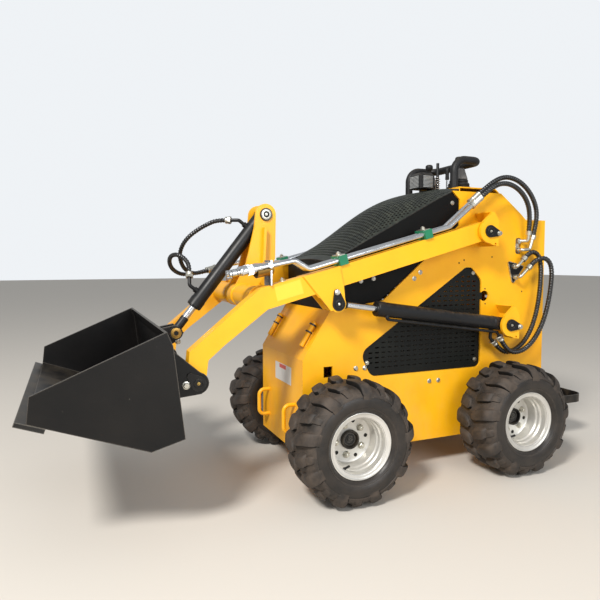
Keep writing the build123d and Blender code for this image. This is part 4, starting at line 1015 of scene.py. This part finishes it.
def make_body_bolts():
    bolts, heads, hole_shades, rings = Shape(), Shape(), Shape(), Shape()
    for side in (1, -1):
        out = x_way * side
        for count, spot in enumerate(plate_bolts):
            bolt(bolts, at(side * plate_x, *spot), out, 7.2, 4.8, 9.8, turn=0.7 * count)
        for count, spot in enumerate(panel_bolts):
            bolt(heads, at(side * panel_x, *spot), out, 6.8, 4.5, 9.2, turn=0.5 * count)
        for spot in drilled_hole_shades:
            # A thin dark disc on the plate: painted shade for the drilled hole
            hole_shades.turned(plate_hole_shade, at(side * plate_x, *spot), out, 20)
            rings.turned(drilled_rim, at(side * plate_x, *spot), out, 20, closed=True)
    bolts.piece("plate_bolts", "chassis", "bright_steel", "zinc_clear")
    heads.piece("panel_bolts", "chassis", "bright_steel", "zinc_clear")
    hole_shades.piece("drilled_hole_shades", "chassis", "black_paint", "hole_shade_paint")
    rings.piece("drilled_rims", "chassis", "yellow_paint", "yellow_paint")


make_body_bolts()

# Pins: a raised ring and a grease nipple on each flag, and the bolt that holds the flag's tail
lift_pivot, barrel_pivot, knee_pin = (279, 998), (401, 607), (-406, 720)
bucket_pivot, tilt_base_pin, tilt_eye_pin = (-927, 474), (-588, 1062), (-945, 607)
# A flag bolt's size, head, washer and turn
small_bolt, large_bolt = (9.5, 7.5, 10.5, 0.2), (10.5, 9, 13.5, 0.3)
# Each: body, pin, x of its flag's outer face, x of the flag's bolt, where that is from the pin, the bolt
flags = [
    ("chassis", lift_pivot, 346, 346, (44, -8), small_bolt),
    ("chassis", barrel_pivot, 346, 346, (44, -8), small_bolt),
    ("lift_arms", knee_pin, 336, 336, (-8, 44), small_bolt),
    ("bucket", bucket_pivot, 346, 340, (-40, -3), large_bolt),
]
pin_ring = [(-0.3, 17), (1.6, 16.6), (2, 15.8), (2, 13.2), (0.6, 12.4), (-0.3, 12.4)]
nipple = [(-0.2, 5.2), (1.2, 5.2), (1.6, 3), (4.2, 2.6), (5.2, 3.4), (6.6, 2)]
mast_ring = [(-0.3, 21.5), (2.2, 21.2), (2.6, 20.5), (2.6, 12.8), (-0.3, 12.8)]
mast_nipple = [(-0.2, 6), (1.6, 6), (2, 3.4), (5.2, 3)]
eye_ring = [(-0.3, 20.5), (2.2, 20.3), (2.6, 19.6), (2.6, 9.2), (1, 8.6), (-0.3, 8.6)]


def make_pin_details():
    for body in ("chassis", "lift_arms", "bucket"):
        rings, bolts, nipples = Shape(), Shape(), Shape()
        for owner, pin, face_x, bolt_x, tail, head in flags:
            for side in (1, -1) if owner == body else ():
                out = x_way * side
                place = at(side * face_x, *pin)
                rings.turned(pin_ring, place, out, 40, closed=True)
                nipples.turned(nipple, place, out, 14)
                bolt(bolts, at(side * bolt_x, pin[0] + tail[0], pin[1] + tail[1]), out, *head)
        for side in (1, -1):
            out = x_way * side
            if body == "lift_arms":
                bolts.turned(mast_ring, at(side * 58, *tilt_base_pin), out, 40, closed=True)
                nipples.turned(mast_nipple, at(side * 58, *tilt_base_pin), out, 14)
            if body == "bucket":
                nipples.turned(eye_ring, at(side * 43, *tilt_eye_pin), out, 36, closed=True)
                bolt(bolts, at(side * 37, -938, 574), out, 7.8, 6, 11, turn=0.4)
        rings.piece(body + "_pin_rings", body, "black_paint", "black_paint")
        bolts.piece(body + "_flag_bolts", body, "bright_steel", "zinc_clear")
        finish = "zinc_gold" if body == "bucket" else "zinc_clear"
        nipples.piece(body + "_grease_points", body, "bright_steel", finish)


make_pin_details()

# Quick couplers on the left arm: sleeves with knurled bands, and the curved saddle under them
coupler_rear = (-659, 862)
coupler_way = Vector((0, -152, -29)).normalized()
# Each ring: distance forward of the coupler's rear end, radius
sleeve = [
    (38, 13.2), (38, 16.4), (44, 17), (50, 17), (51, 16.2), (68, 16.2), (69, 17.2), (92, 17.2),
    (93, 15.8), (97, 15.8), (98, 16.6), (107, 16.6), (111, 15.4), (111, 13.2),
]
nut = [(-1, 9.3), (-1, 15.4), (14, 15.4), (16, 14), (16, 9.3)]
seal = [(-1.2, 11.3), (-1.2, 11.56), (1.2, 11.56), (1.2, 11.3)]
seal_spots = (120, 128, 147)
knurl_count, knurl_radius, knurl_span = 30, 17.1, (70, 91)
saddle_rings = (-2, 0, 10, 22, 34, 46, 56, 58)
saddle_steps = 16


def make_couplers():
    sleeves, seals, saddle = Shape(), Shape(), Shape()
    side = coupler_way.orthogonal().normalized()
    start, stop = (coupler_way * (distance * mm) for distance in knurl_span)
    for x in (277, 315):
        origin = at(x, *coupler_rear)
        sleeves.turned(sleeve, origin, coupler_way, 48, closed=True)
        sleeves.turned(nut, origin, coupler_way, 6, closed=True)
        for base in circle(origin, side, coupler_way.cross(side), knurl_count, knurl_radius * mm):
            sleeves.tube([base + start, base + stop], 0.7, 4)
        for distance in seal_spots:
            seals.turned(seal, origin + coupler_way * (distance * mm), coupler_way, 36, closed=True)
    sleeves.piece("coupler_sleeves", "lift_arms", "bright_steel", "bright_steel", smooth=30)
    seals.piece("coupler_seals", "lift_arms", "bright_steel", "black_rubber")

    up = coupler_way.cross(x_way).normalized()
    rings = []
    for distance in saddle_rings:
        centre = at(296, *coupler_rear) + coupler_way * (distance * mm)
        flare = 2 * distance / saddle_rings[-1]
        ring = []
        for reach, arc in ((38.5, range(saddle_steps + 1)), (36, range(saddle_steps, -1, -1))):
            for step in arc:
                angle = math.radians(195 + 150 * step / saddle_steps)
                way = x_way * math.cos(angle) + up * (math.sin(angle) * 0.86)
                ring.append(centre + way * ((reach + flare) * mm))
        rings.append(ring)
    saddle.loft(rings)
    saddle.piece("coupler_saddle", "lift_arms", "bright_steel", "zinc_gold", smooth=50)


make_couplers()

# Pipe clamps: a flat plate and its bolt on each block, square to the arm's straight top line
arm_low, arm_high = (-397, 859), (263, 1038)
arm_slope = math.atan2(arm_high[1] - arm_low[1], arm_high[0] - arm_low[0])
arm_up = Vector((0, -math.sin(arm_slope), math.cos(arm_slope)))
arm_along = Vector((0, math.cos(arm_slope), math.sin(arm_slope)))
clamp_spots = (-380, -8)
clamp_rise = 35.8
clamp_outline = [
    (31, 10.15), (26.66, 14.5), (-26.66, 14.5), (-31, 10.15),
    (-31, -10.15), (-26.66, -14.5), (26.66, -14.5), (31, -10.15),
]


def make_clamp_plates():
    plates, bolts = Shape(), Shape()
    for side in (1, -1):
        for spot in clamp_spots:
            arm_top = arm_low[1] + (spot - arm_low[0]) * math.tan(arm_slope)
            top = at(side * 296, spot, arm_top) + arm_up * (clamp_rise * mm)
            plates.prism(clamp_outline, top, x_way, arm_along, 2.4)
            bolt(bolts, top + arm_up * (2 * mm), arm_up, 8.5, 8, 10.5, turn=spot, stud=3)
    bolt(bolts, at(296, -612, 805.2), Vector((0, -0.234, 0.972)), 9, 8, 12.5, turn=0.3, stud=4)
    plates.piece("clamp_plates", "lift_arms", "bright_steel", "zinc_clear")
    bolts.piece("clamp_bolts", "lift_arms", "bright_steel", "zinc_clear")


make_clamp_plates()


# Hose ends: a crimped sleeve over each ferrule, with a hex at its root
ferrule_radius, crimp_low, crimp_high = 10.4, 13.25, 13.9
crimp_step = 4.5


def crimp(shape, end, toward, length):
    """The sleeve runs from the hose's end the other way from the hose, over the ferrule."""
    profile = [(-1, ferrule_radius), (-0.8, 13.6), (2.5, crimp_high)]
    count = max(2, int((length - 8) / crimp_step))
    span = (length - 11) / count
    for step in range(count):
        for share, radius in ((0.2, crimp_low), (0.65, crimp_low), (0.85, crimp_high)):
            profile.append((3 + span * (step + share), radius))
    profile += [(length - 6.5, crimp_high), (length - 6, ferrule_radius)]
    shape.turned(profile, end, toward, 28, closed=True)
    hexagon = ((-7, ferrule_radius), (-7, 15.8), (2.5, 15.8), (3.5, 14.4), (3.5, ferrule_radius))
    shape.turned([(length + along, radius) for along, radius in hexagon], end, toward, 6, closed=True)


# Each hose end with a ferrule of its own: the route's two points there, the ferrule's length, body, sides
ferrules = [
    (arm_a[:2], 58, "lift_arms", (1, -1)),
    (arm_b[:2], 58, "lift_arms", (1, -1)),
    (cylinder_a[:-3:-1], 18, "barrel", (1, -1)),
    (cylinder_b[:-3:-1], 18, "barrel", (1, -1)),
    (tilt_upper[:2], 44, "lift_arms", (-1,)),
    (tilt_lower[:2], 44, "lift_arms", (-1,)),
    (tilt_upper[:-3:-1], 18, "mast_barrel", (-1,)),
    (tilt_lower[:-3:-1], 18, "mast_barrel", (-1,)),
]


def make_crimps():
    shapes = {}
    for ends, length, body, sides in ferrules:
        for side in sides:
            tip, after = (at(side * x, y, z) for x, y, z in ends)
            owner = body
            if body == "barrel":
                owner = "left_barrel" if side > 0 else "right_barrel"
            crimp(shapes.setdefault(owner, Shape()), tip, (tip - after).normalized(), length)
    for owner, shape in shapes.items():
        shape.piece(owner + "_crimped_ends", owner, "bright_steel", "zinc_clear", smooth=30)


make_crimps()

# Port plate: the black triangle under the elbows
port_outline = [(476, 874), (562, 852.5), (503, 779)]


def make_port_plate():
    plate = Shape()
    for side in (1, -1):
        plate.prism(port_outline, at(side * 237.9, 0, 0), y_way, z_way, 1.2)
    plate.piece("port_plates", "chassis", "black_paint", "black_paint")


make_port_plate()

# The latches on the nose: a tube with a head and two rings, welded along both sides
nose_normal = Vector((0, -185, 115)).normalized()
nose_up = Vector((0, 115, 185)).normalized()
latch_ring = [(-3.5, 11.2), (-3, 14.2), (3, 14.2), (3.5, 11.2)]
latch_head = [(0, 11), (28, 11), (31, 13.2), (40, 13.2), (45, 8.5)]


def make_nose():
    latches, rings = Shape(), Shape()
    for side in (1, -1):
        start = at(side * 182, -482, 543.8) + nose_normal * (13 * mm)
        stop = start + nose_up * (78 * mm)
        latches.tube([start, start.lerp(stop, 0.5), stop], 10.5, 20)
        for sideways in (11, -11):
            root = start - nose_normal * (12 * mm) + x_way * (sideways * mm)
            weld(latches, [root, root + nose_up * (70 * mm)], 2.8)
        for distance in (62, 94):
            rings.turned(latch_ring, start + nose_up * (distance * mm), nose_up, 24, closed=True)
        latches.turned(latch_head, start + nose_up * (64 * mm), nose_up, 24)
    latches.piece("nose_latches", "chassis", "yellow_paint", "yellow_paint")
    rings.piece("nose_latch_rings", "chassis", "bright_steel", "worn_steel")


make_nose()

# Blank labels. On the nose, corners are x and height; on an arm, behind mid-wheelbase and height.
label_seat, label_thick = 0.2, 0.8
nose_label = [(-64, 455), (117, 455), (114, 382), (-64, 382)]
nose_block = [(-14, 452), (58, 452), (58, 436), (-14, 436)]
arm_label = [(-652, 786), (-555, 812), (-540, 762), (-641, 736)]


def label(name, body, corners, out, finish):
    shape = Shape()
    shape.raised([corner - out * (label_seat * mm) for corner in corners], out, label_thick)
    shape.piece(name, body, "lamp_body", finish)


label("nose_label", "chassis", [at(x, -508, z) for x, z in nose_label], -y_way, "plate_white")
label("nose_label_block", "chassis", [at(x, -508.5, z) for x, z in nose_block], -y_way, "label_red")
for word, side in (("left", 1), ("right", -1)):
    corners = [at(side * 322, *corner) for corner in arm_label]
    label("arm_label_" + word, "lift_arms", corners, x_way * side, "plate_yellow")

# Hand controls: a bellows boot and a ribbed cone with a knob for each joystick, a post with its spring,
# and the lever between them. Rows are height over the dash and radius.
dash_z = 1190
boot = [
    (0, 0), (0, 51), (4, 52.5), (11, 52.5), (15.5, 49), (18, 44.5), (20.5, 46.5), (27, 46.8), (31.5, 44),
    (34, 39), (36.5, 40.5), (43, 40.5), (47.5, 37.5), (50, 34.5), (50, 0),
]
knob = [
    (92, 0), (92, 8.5), (118, 8.5), (122, 12.5), (128, 16.5), (136, 17.8), (144, 16.5), (148.5, 11.5),
    (149.8, 0),
]
cone = [(48, 36.5), (51, 37.2), (54, 36.5), (90, 25.2), (95, 23.8), (96.5, 21.5)]
cone_steps = 72
post_profile = [(0, 13.8), (8, 13.8), (8, 6.8), (136, 6.8), (137, 6)]
lever_foot = [(0, 12.8), (12, 12.8), (12, 9)]
lever_grip = [(64, 6), (66, 9.2), (85, 8.5), (104, 9.6), (113.5, 9.8), (118, 6.5)]
lever_rod = [(10, 5), (66, 5)]
coil_points, coil_steps, coil_radius = 120, 20, 10.2


def make_controls():
    boots, cones, knobs, steel = Shape(), Shape(), Shape(), Shape()
    for side in (1, -1):
        foot = at(side * 110, 300, dash_z)
        boots.turned(boot, foot, z_way, 48)
        knobs.turned(knob, foot, z_way, 28)
        rings = []
        for height, radius in cone:
            ring = []
            for step in range(cone_steps):
                angle = full_turn * step / cone_steps
                reach = radius + (0.6 if step % 3 else -0.4)
                way = x_way * math.cos(angle) + y_way * math.sin(angle)
                ring.append(foot + (way * reach + z_way * height) * mm)
            rings.append(ring)
        cones.loft(rings)
    post, lever = at(0, 268, dash_z), at(0, 322, dash_z)
    knobs.turned(post_profile, post, z_way, 24)
    coil = []
    for step in range(coil_points):
        angle = full_turn * step / coil_steps
        height = 12 + 60 * step / (coil_points - 1)
        way = x_way * math.cos(angle) + y_way * math.sin(angle)
        coil.append(post + (way * coil_radius + z_way * height) * mm)
    steel.tube(coil, 1.8, 8)
    knobs.turned(lever_foot, lever, z_way, 28)
    knobs.turned(lever_grip, lever, z_way, 24)
    steel.turned(lever_rod, lever, z_way, 20)
    for shape, name, slot_name, finish, smooth in (
        (boots, "joystick_boots", "black_rubber", "black_rubber", 60),
        (cones, "joystick_cones", "black_rubber", "grey_plastic", 50),
        (knobs, "control_knobs", "black_rubber", "black_rubber", 50),
        (steel, "control_spring_and_lever", "bright_steel", "bright_steel", 50),
    ):
        item = shape.piece(name, "chassis", slot_name, finish, smooth=smooth)
        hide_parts("joysticks")


make_controls()

# Work lamp: a ribbed lens with a frame on the front and sides
lens_low, lens_high, lens_rows = 1210, 1257, 9
frame_low, frame_high = 1206, 1260


def make_lamp():
    lens, frame_bars = Shape(), Shape()
    heights = [lens_low + (lens_high - lens_low) * row / (lens_rows - 1) for row in range(lens_rows)]
    for z in heights:
        lens.tube([at(-34, 141.6, z), at(34, 141.6, z)], 2.2, 8)
    for side in (1, -1):
        for z in heights:
            lens.tube([at(side * 45.2, 158, z), at(side * 45.2, 208, z)], 2.2, 8)
        for x, y in ((45, 153), (45, 213), (37, 142)):
            frame_bars.tube([at(side * x, y, frame_low), at(side * x, y, frame_high)], 2.8, 8)
    lens.piece("lamp_lens", "chassis", "lamp_body", "lamp_glass", smooth=60)
    frame_bars.piece("lamp_frame", "chassis", "lamp_body", "black_paint", smooth=60)


make_lamp()

# Welds: x, radius, and the bead's line. The ears' lines are measured from their pins.
ear_welds = ((233, 3, ((46.5, -60), (46.5, 42), (24, 79.5))), (327, 2.4, ((35, -56), (35, 40), (14, 74))))
bucket_welds = (
    (484.6, 3.2, ((-1096, 322), (-1010, 349), (-1041, 622), (-1056, 660))),
    (340.5, 3, ((-1012, 436), (-1029, 596))),
)
# Round the cross tube: x, radius
tube_welds = ((269.2, 3), (39.5, 2.6), (52.5, 2.6))
tube_place, tube_radius = (-688, 746), 42.6
knee_line = ((-545.5, 822), (-480.1, 745.5))


def make_welds():
    body, arms, bucket = Shape(), Shape(), Shape()
    for side in (1, -1):
        for pivot in (lift_pivot, barrel_pivot):
            for x, radius, line in ear_welds:
                weld(body, [at(side * x, pivot[0] + back, pivot[1] + up) for back, up in line], radius)
        weld(arms, [at(side * 322.5, *spot) for spot in knee_line], 2.6)
        for x, radius in tube_welds:
            ring = circle(at(side * x, *tube_place), y_way, z_way, 32, tube_radius * mm)
            weld(arms, ring + ring[:1], radius)
        for x, radius, line in bucket_welds:
            weld(bucket, [at(side * x, *spot) for spot in line], radius)
    body.piece("body_welds", "chassis", "yellow_paint", "yellow_paint", smooth=60)
    arms.piece("arm_welds", "lift_arms", "yellow_paint", "yellow_paint", smooth=60)
    bucket.piece("bucket_welds", "bucket", "black_paint", "bucket_paint", smooth=60)


make_welds()

# Rod ends: the black socket of the tilt rod and of each lift rod, over the chromed bar.
# Each: body, x, its own pin, the pin it points at, where it starts and ends, radius
sockets = [
    ("mast_rod", 0, tilt_eye_pin, tilt_base_pin, 22, 70, 16.5),
    ("left_rod", 296, knee_pin, barrel_pivot, 20, 50, 15),
    ("right_rod", -296, knee_pin, barrel_pivot, 20, 50, 15),
]
for body, x, pin, other, near, far, radius in sockets:
    way = Vector((0, other[0] - pin[0], other[1] - pin[1])).normalized()
    profile = [(near, radius), (far - 4, radius), (far, radius - 1.2), (far, 12.2)]
    shape = Shape()
    shape.turned(profile, at(x, *pin), way, 36)
    shape.piece(body + "_socket", body, "black_paint", "cylinder_black")

# Cylinder heads: the gland nut with its wiper at the mouth of each barrel, and two bands near its foot.
# Each: body, x, its own pin, the pin it points at, the barrel's length and radius, the rod's radius
glands = [
    ("left_barrel", 296, barrel_pivot, knee_pin, 637, 28.5, 12.6),
    ("right_barrel", -296, barrel_pivot, knee_pin, 637, 28.5, 12.6),
    ("mast_barrel", 0, tilt_base_pin, tilt_eye_pin, 457, 28, 14.1),
]
# Distance from the barrel's mouth, with how much more than the barrel's or the rod's radius
gland_outside = [(-34, -0.5), (-34, 1.6), (-4, 1.6), (-1, -1.4), (0.6, -3)]
gland_inside = [(0.6, 4.2), (3, 3), (3, 0.6), (-4, 0.6)]
band = [(0, -0.4), (1, 0.9), (4, 0.9), (5, -0.4)]
for body, x, pin, other, length, radius, rod in glands:
    start = at(x, *pin)
    way = Vector((0, other[0] - pin[0], other[1] - pin[1])).normalized()
    profile = [(length + along, radius + more) for along, more in gland_outside]
    profile += [(length + along, rod + more) for along, more in gland_inside]
    shape = Shape()
    shape.turned(profile, start, way, 48, closed=True)
    for distance in (60, 66):
        profile = [(distance + along, radius + more) for along, more in band]
        shape.turned(profile, start, way, 48, closed=True)
    shape.piece(body + "_gland", body, "black_paint", "cylinder_black", smooth=30)

# Rear panel: hinge barrels, a latch and the bolts round its edge
rear_y = 695
hinge_barrels = ((-38, -14), (-12, 12), (14, 38))
hinge_leaf = [(0, -34), (36, -34), (36, 34), (0, 34)]
latch_round = [(-0.3, 19), (4, 18.5), (5.5, 16.5), (5.5, 9), (12, 8.5), (13.5, 7)]
latch_handle = [(-6, -30), (6, -30), (7.5, 8), (-7.5, 8)]


def make_rear_details():
    hinges, bolts, latch = Shape(), Shape(), Shape()
    for z in (330, 900):
        for start, stop in hinge_barrels:
            hinges.tube([at(-214, rear_y + 4, z + start), at(-214, rear_y + 4, z + stop)], 6.2, 16)
        hinges.prism(hinge_leaf, at(-214, rear_y - 0.2, z), x_way, z_way, -3.2)
        for rise in (-20, 20):
            bolt(bolts, at(-190, rear_y + 3, z + rise), y_way, 5.2, 3.6, 7)
    for x in (-205, 205):
        for z in (225, 610, 775, 1010):
            bolt(bolts, at(x, rear_y, z), y_way, 6.2, 4.2, 8.8, turn=z)
    latch.turned(latch_round, at(176, rear_y, 840), y_way, 36)
    latch.prism(latch_handle, at(176, rear_y + 12, 840), x_way, z_way, -6)
    hinges.piece("rear_hinges", "chassis", "yellow_paint", "yellow_paint", smooth=40)
    bolts.piece("rear_bolts", "chassis", "bright_steel", "zinc_clear")
    latch.piece("rear_latch", "chassis", "black_paint", "black_paint", smooth=40)


make_rear_details()

# Platform: raised grips on its floor. Each ring of a grip: height, half length, half width
grip_rings = ((-0.4, 10.5, 3.6), (1.2, 8.8, 2.4), (1.7, 6, 1.2))
grip_rows, grip_columns = 13, 17
floor_top = 215


def make_platform_grips():
    floor_tree = surface_of("platform")
    grips = Shape()
    for row in range(grip_rows):
        for column in range(grip_columns):
            above = at(-190 + 380 * column / (grip_columns - 1), 712 + 264 * row / (grip_rows - 1), 300)
            hit = floor_tree.ray_cast(above, -z_way)[0]
            if not hit or hit.z > floor_top * mm:
                continue
            turn = math.radians(45 if (row + column) % 2 else -45)
            along = Vector((math.cos(turn), math.sin(turn), 0)) * mm
            wide = Vector((-along.y, along.x, 0))
            rings = []
            for height, length, width in grip_rings:
                rings.append(circle(hit + z_way * (height * mm), along * length, wide * width, 10))
            grips.loft(rings)
    grips.piece("platform_grips", "chassis", "black_paint", "black_paint", smooth=40)


make_platform_grips()

# The floor and the light, in metres. Each lamp: place, target, size, power, colour
floor_reach = 30.0
sky_seen, sky_light = 0.92, 0.5
lamps = {
    "key": ((3.3, -3.6, 4.6), (0.0, 0.0, 0.6), 1.2, 420, (1.0, 0.97, 0.93)),
    "fill": ((4.8, 0.6, 2.0), (0.0, 0.1, 0.6), 3.0, 90, (0.94, 0.97, 1.0)),
}


def make_stage():
    mesh = bpy.data.meshes.new("floor")
    corners = [(x * floor_reach, y * floor_reach, 0) for x, y in ((-1, -1), (1, -1), (1, 1), (-1, 1))]
    mesh.from_pydata(corners, [], [(0, 1, 2, 3)])
    material = bpy.data.materials.new("floor_pale")
    material.use_nodes = True
    shader = material.node_tree.nodes["Principled BSDF"]
    shader.inputs["Base Color"].default_value = rgb(208, 202, 193)
    shader.inputs["Roughness"].default_value = 0.9
    mesh.materials.append(material)
    floor = bpy.data.objects.new("floor", mesh)
    bpy.context.scene.collection.objects.link(floor)

    world = bpy.data.worlds.new("world")
    world.use_nodes = True
    tree = world.node_tree
    backdrop = tree.nodes["Background"]
    backdrop.inputs["Color"].default_value = (0.94, 0.97, 1.0, 1.0)
    ray = tree.nodes.new("ShaderNodeLightPath")
    strength = tree.nodes.new("ShaderNodeMapRange")
    strength.inputs["To Min"].default_value = sky_light
    strength.inputs["To Max"].default_value = sky_seen
    tree.links.new(ray.outputs["Is Camera Ray"], strength.inputs["Value"])
    tree.links.new(strength.outputs["Result"], backdrop.inputs["Strength"])
    bpy.context.scene.world = world

    for name, (place, target, size, power, colour) in lamps.items():
        data = bpy.data.lights.new(name, "AREA")
        data.shape = "DISK"
        data.size = size
        data.energy = power
        data.color = colour
        lamp = bpy.data.objects.new(name, data)
        bpy.context.scene.collection.objects.link(lamp)
        lamp.location = place
        lamp.rotation_euler = (Vector(target) - Vector(place)).to_track_quat("-Z", "Y").to_euler()


make_stage()
bpy.context.scene.view_settings.view_transform = "Standard"
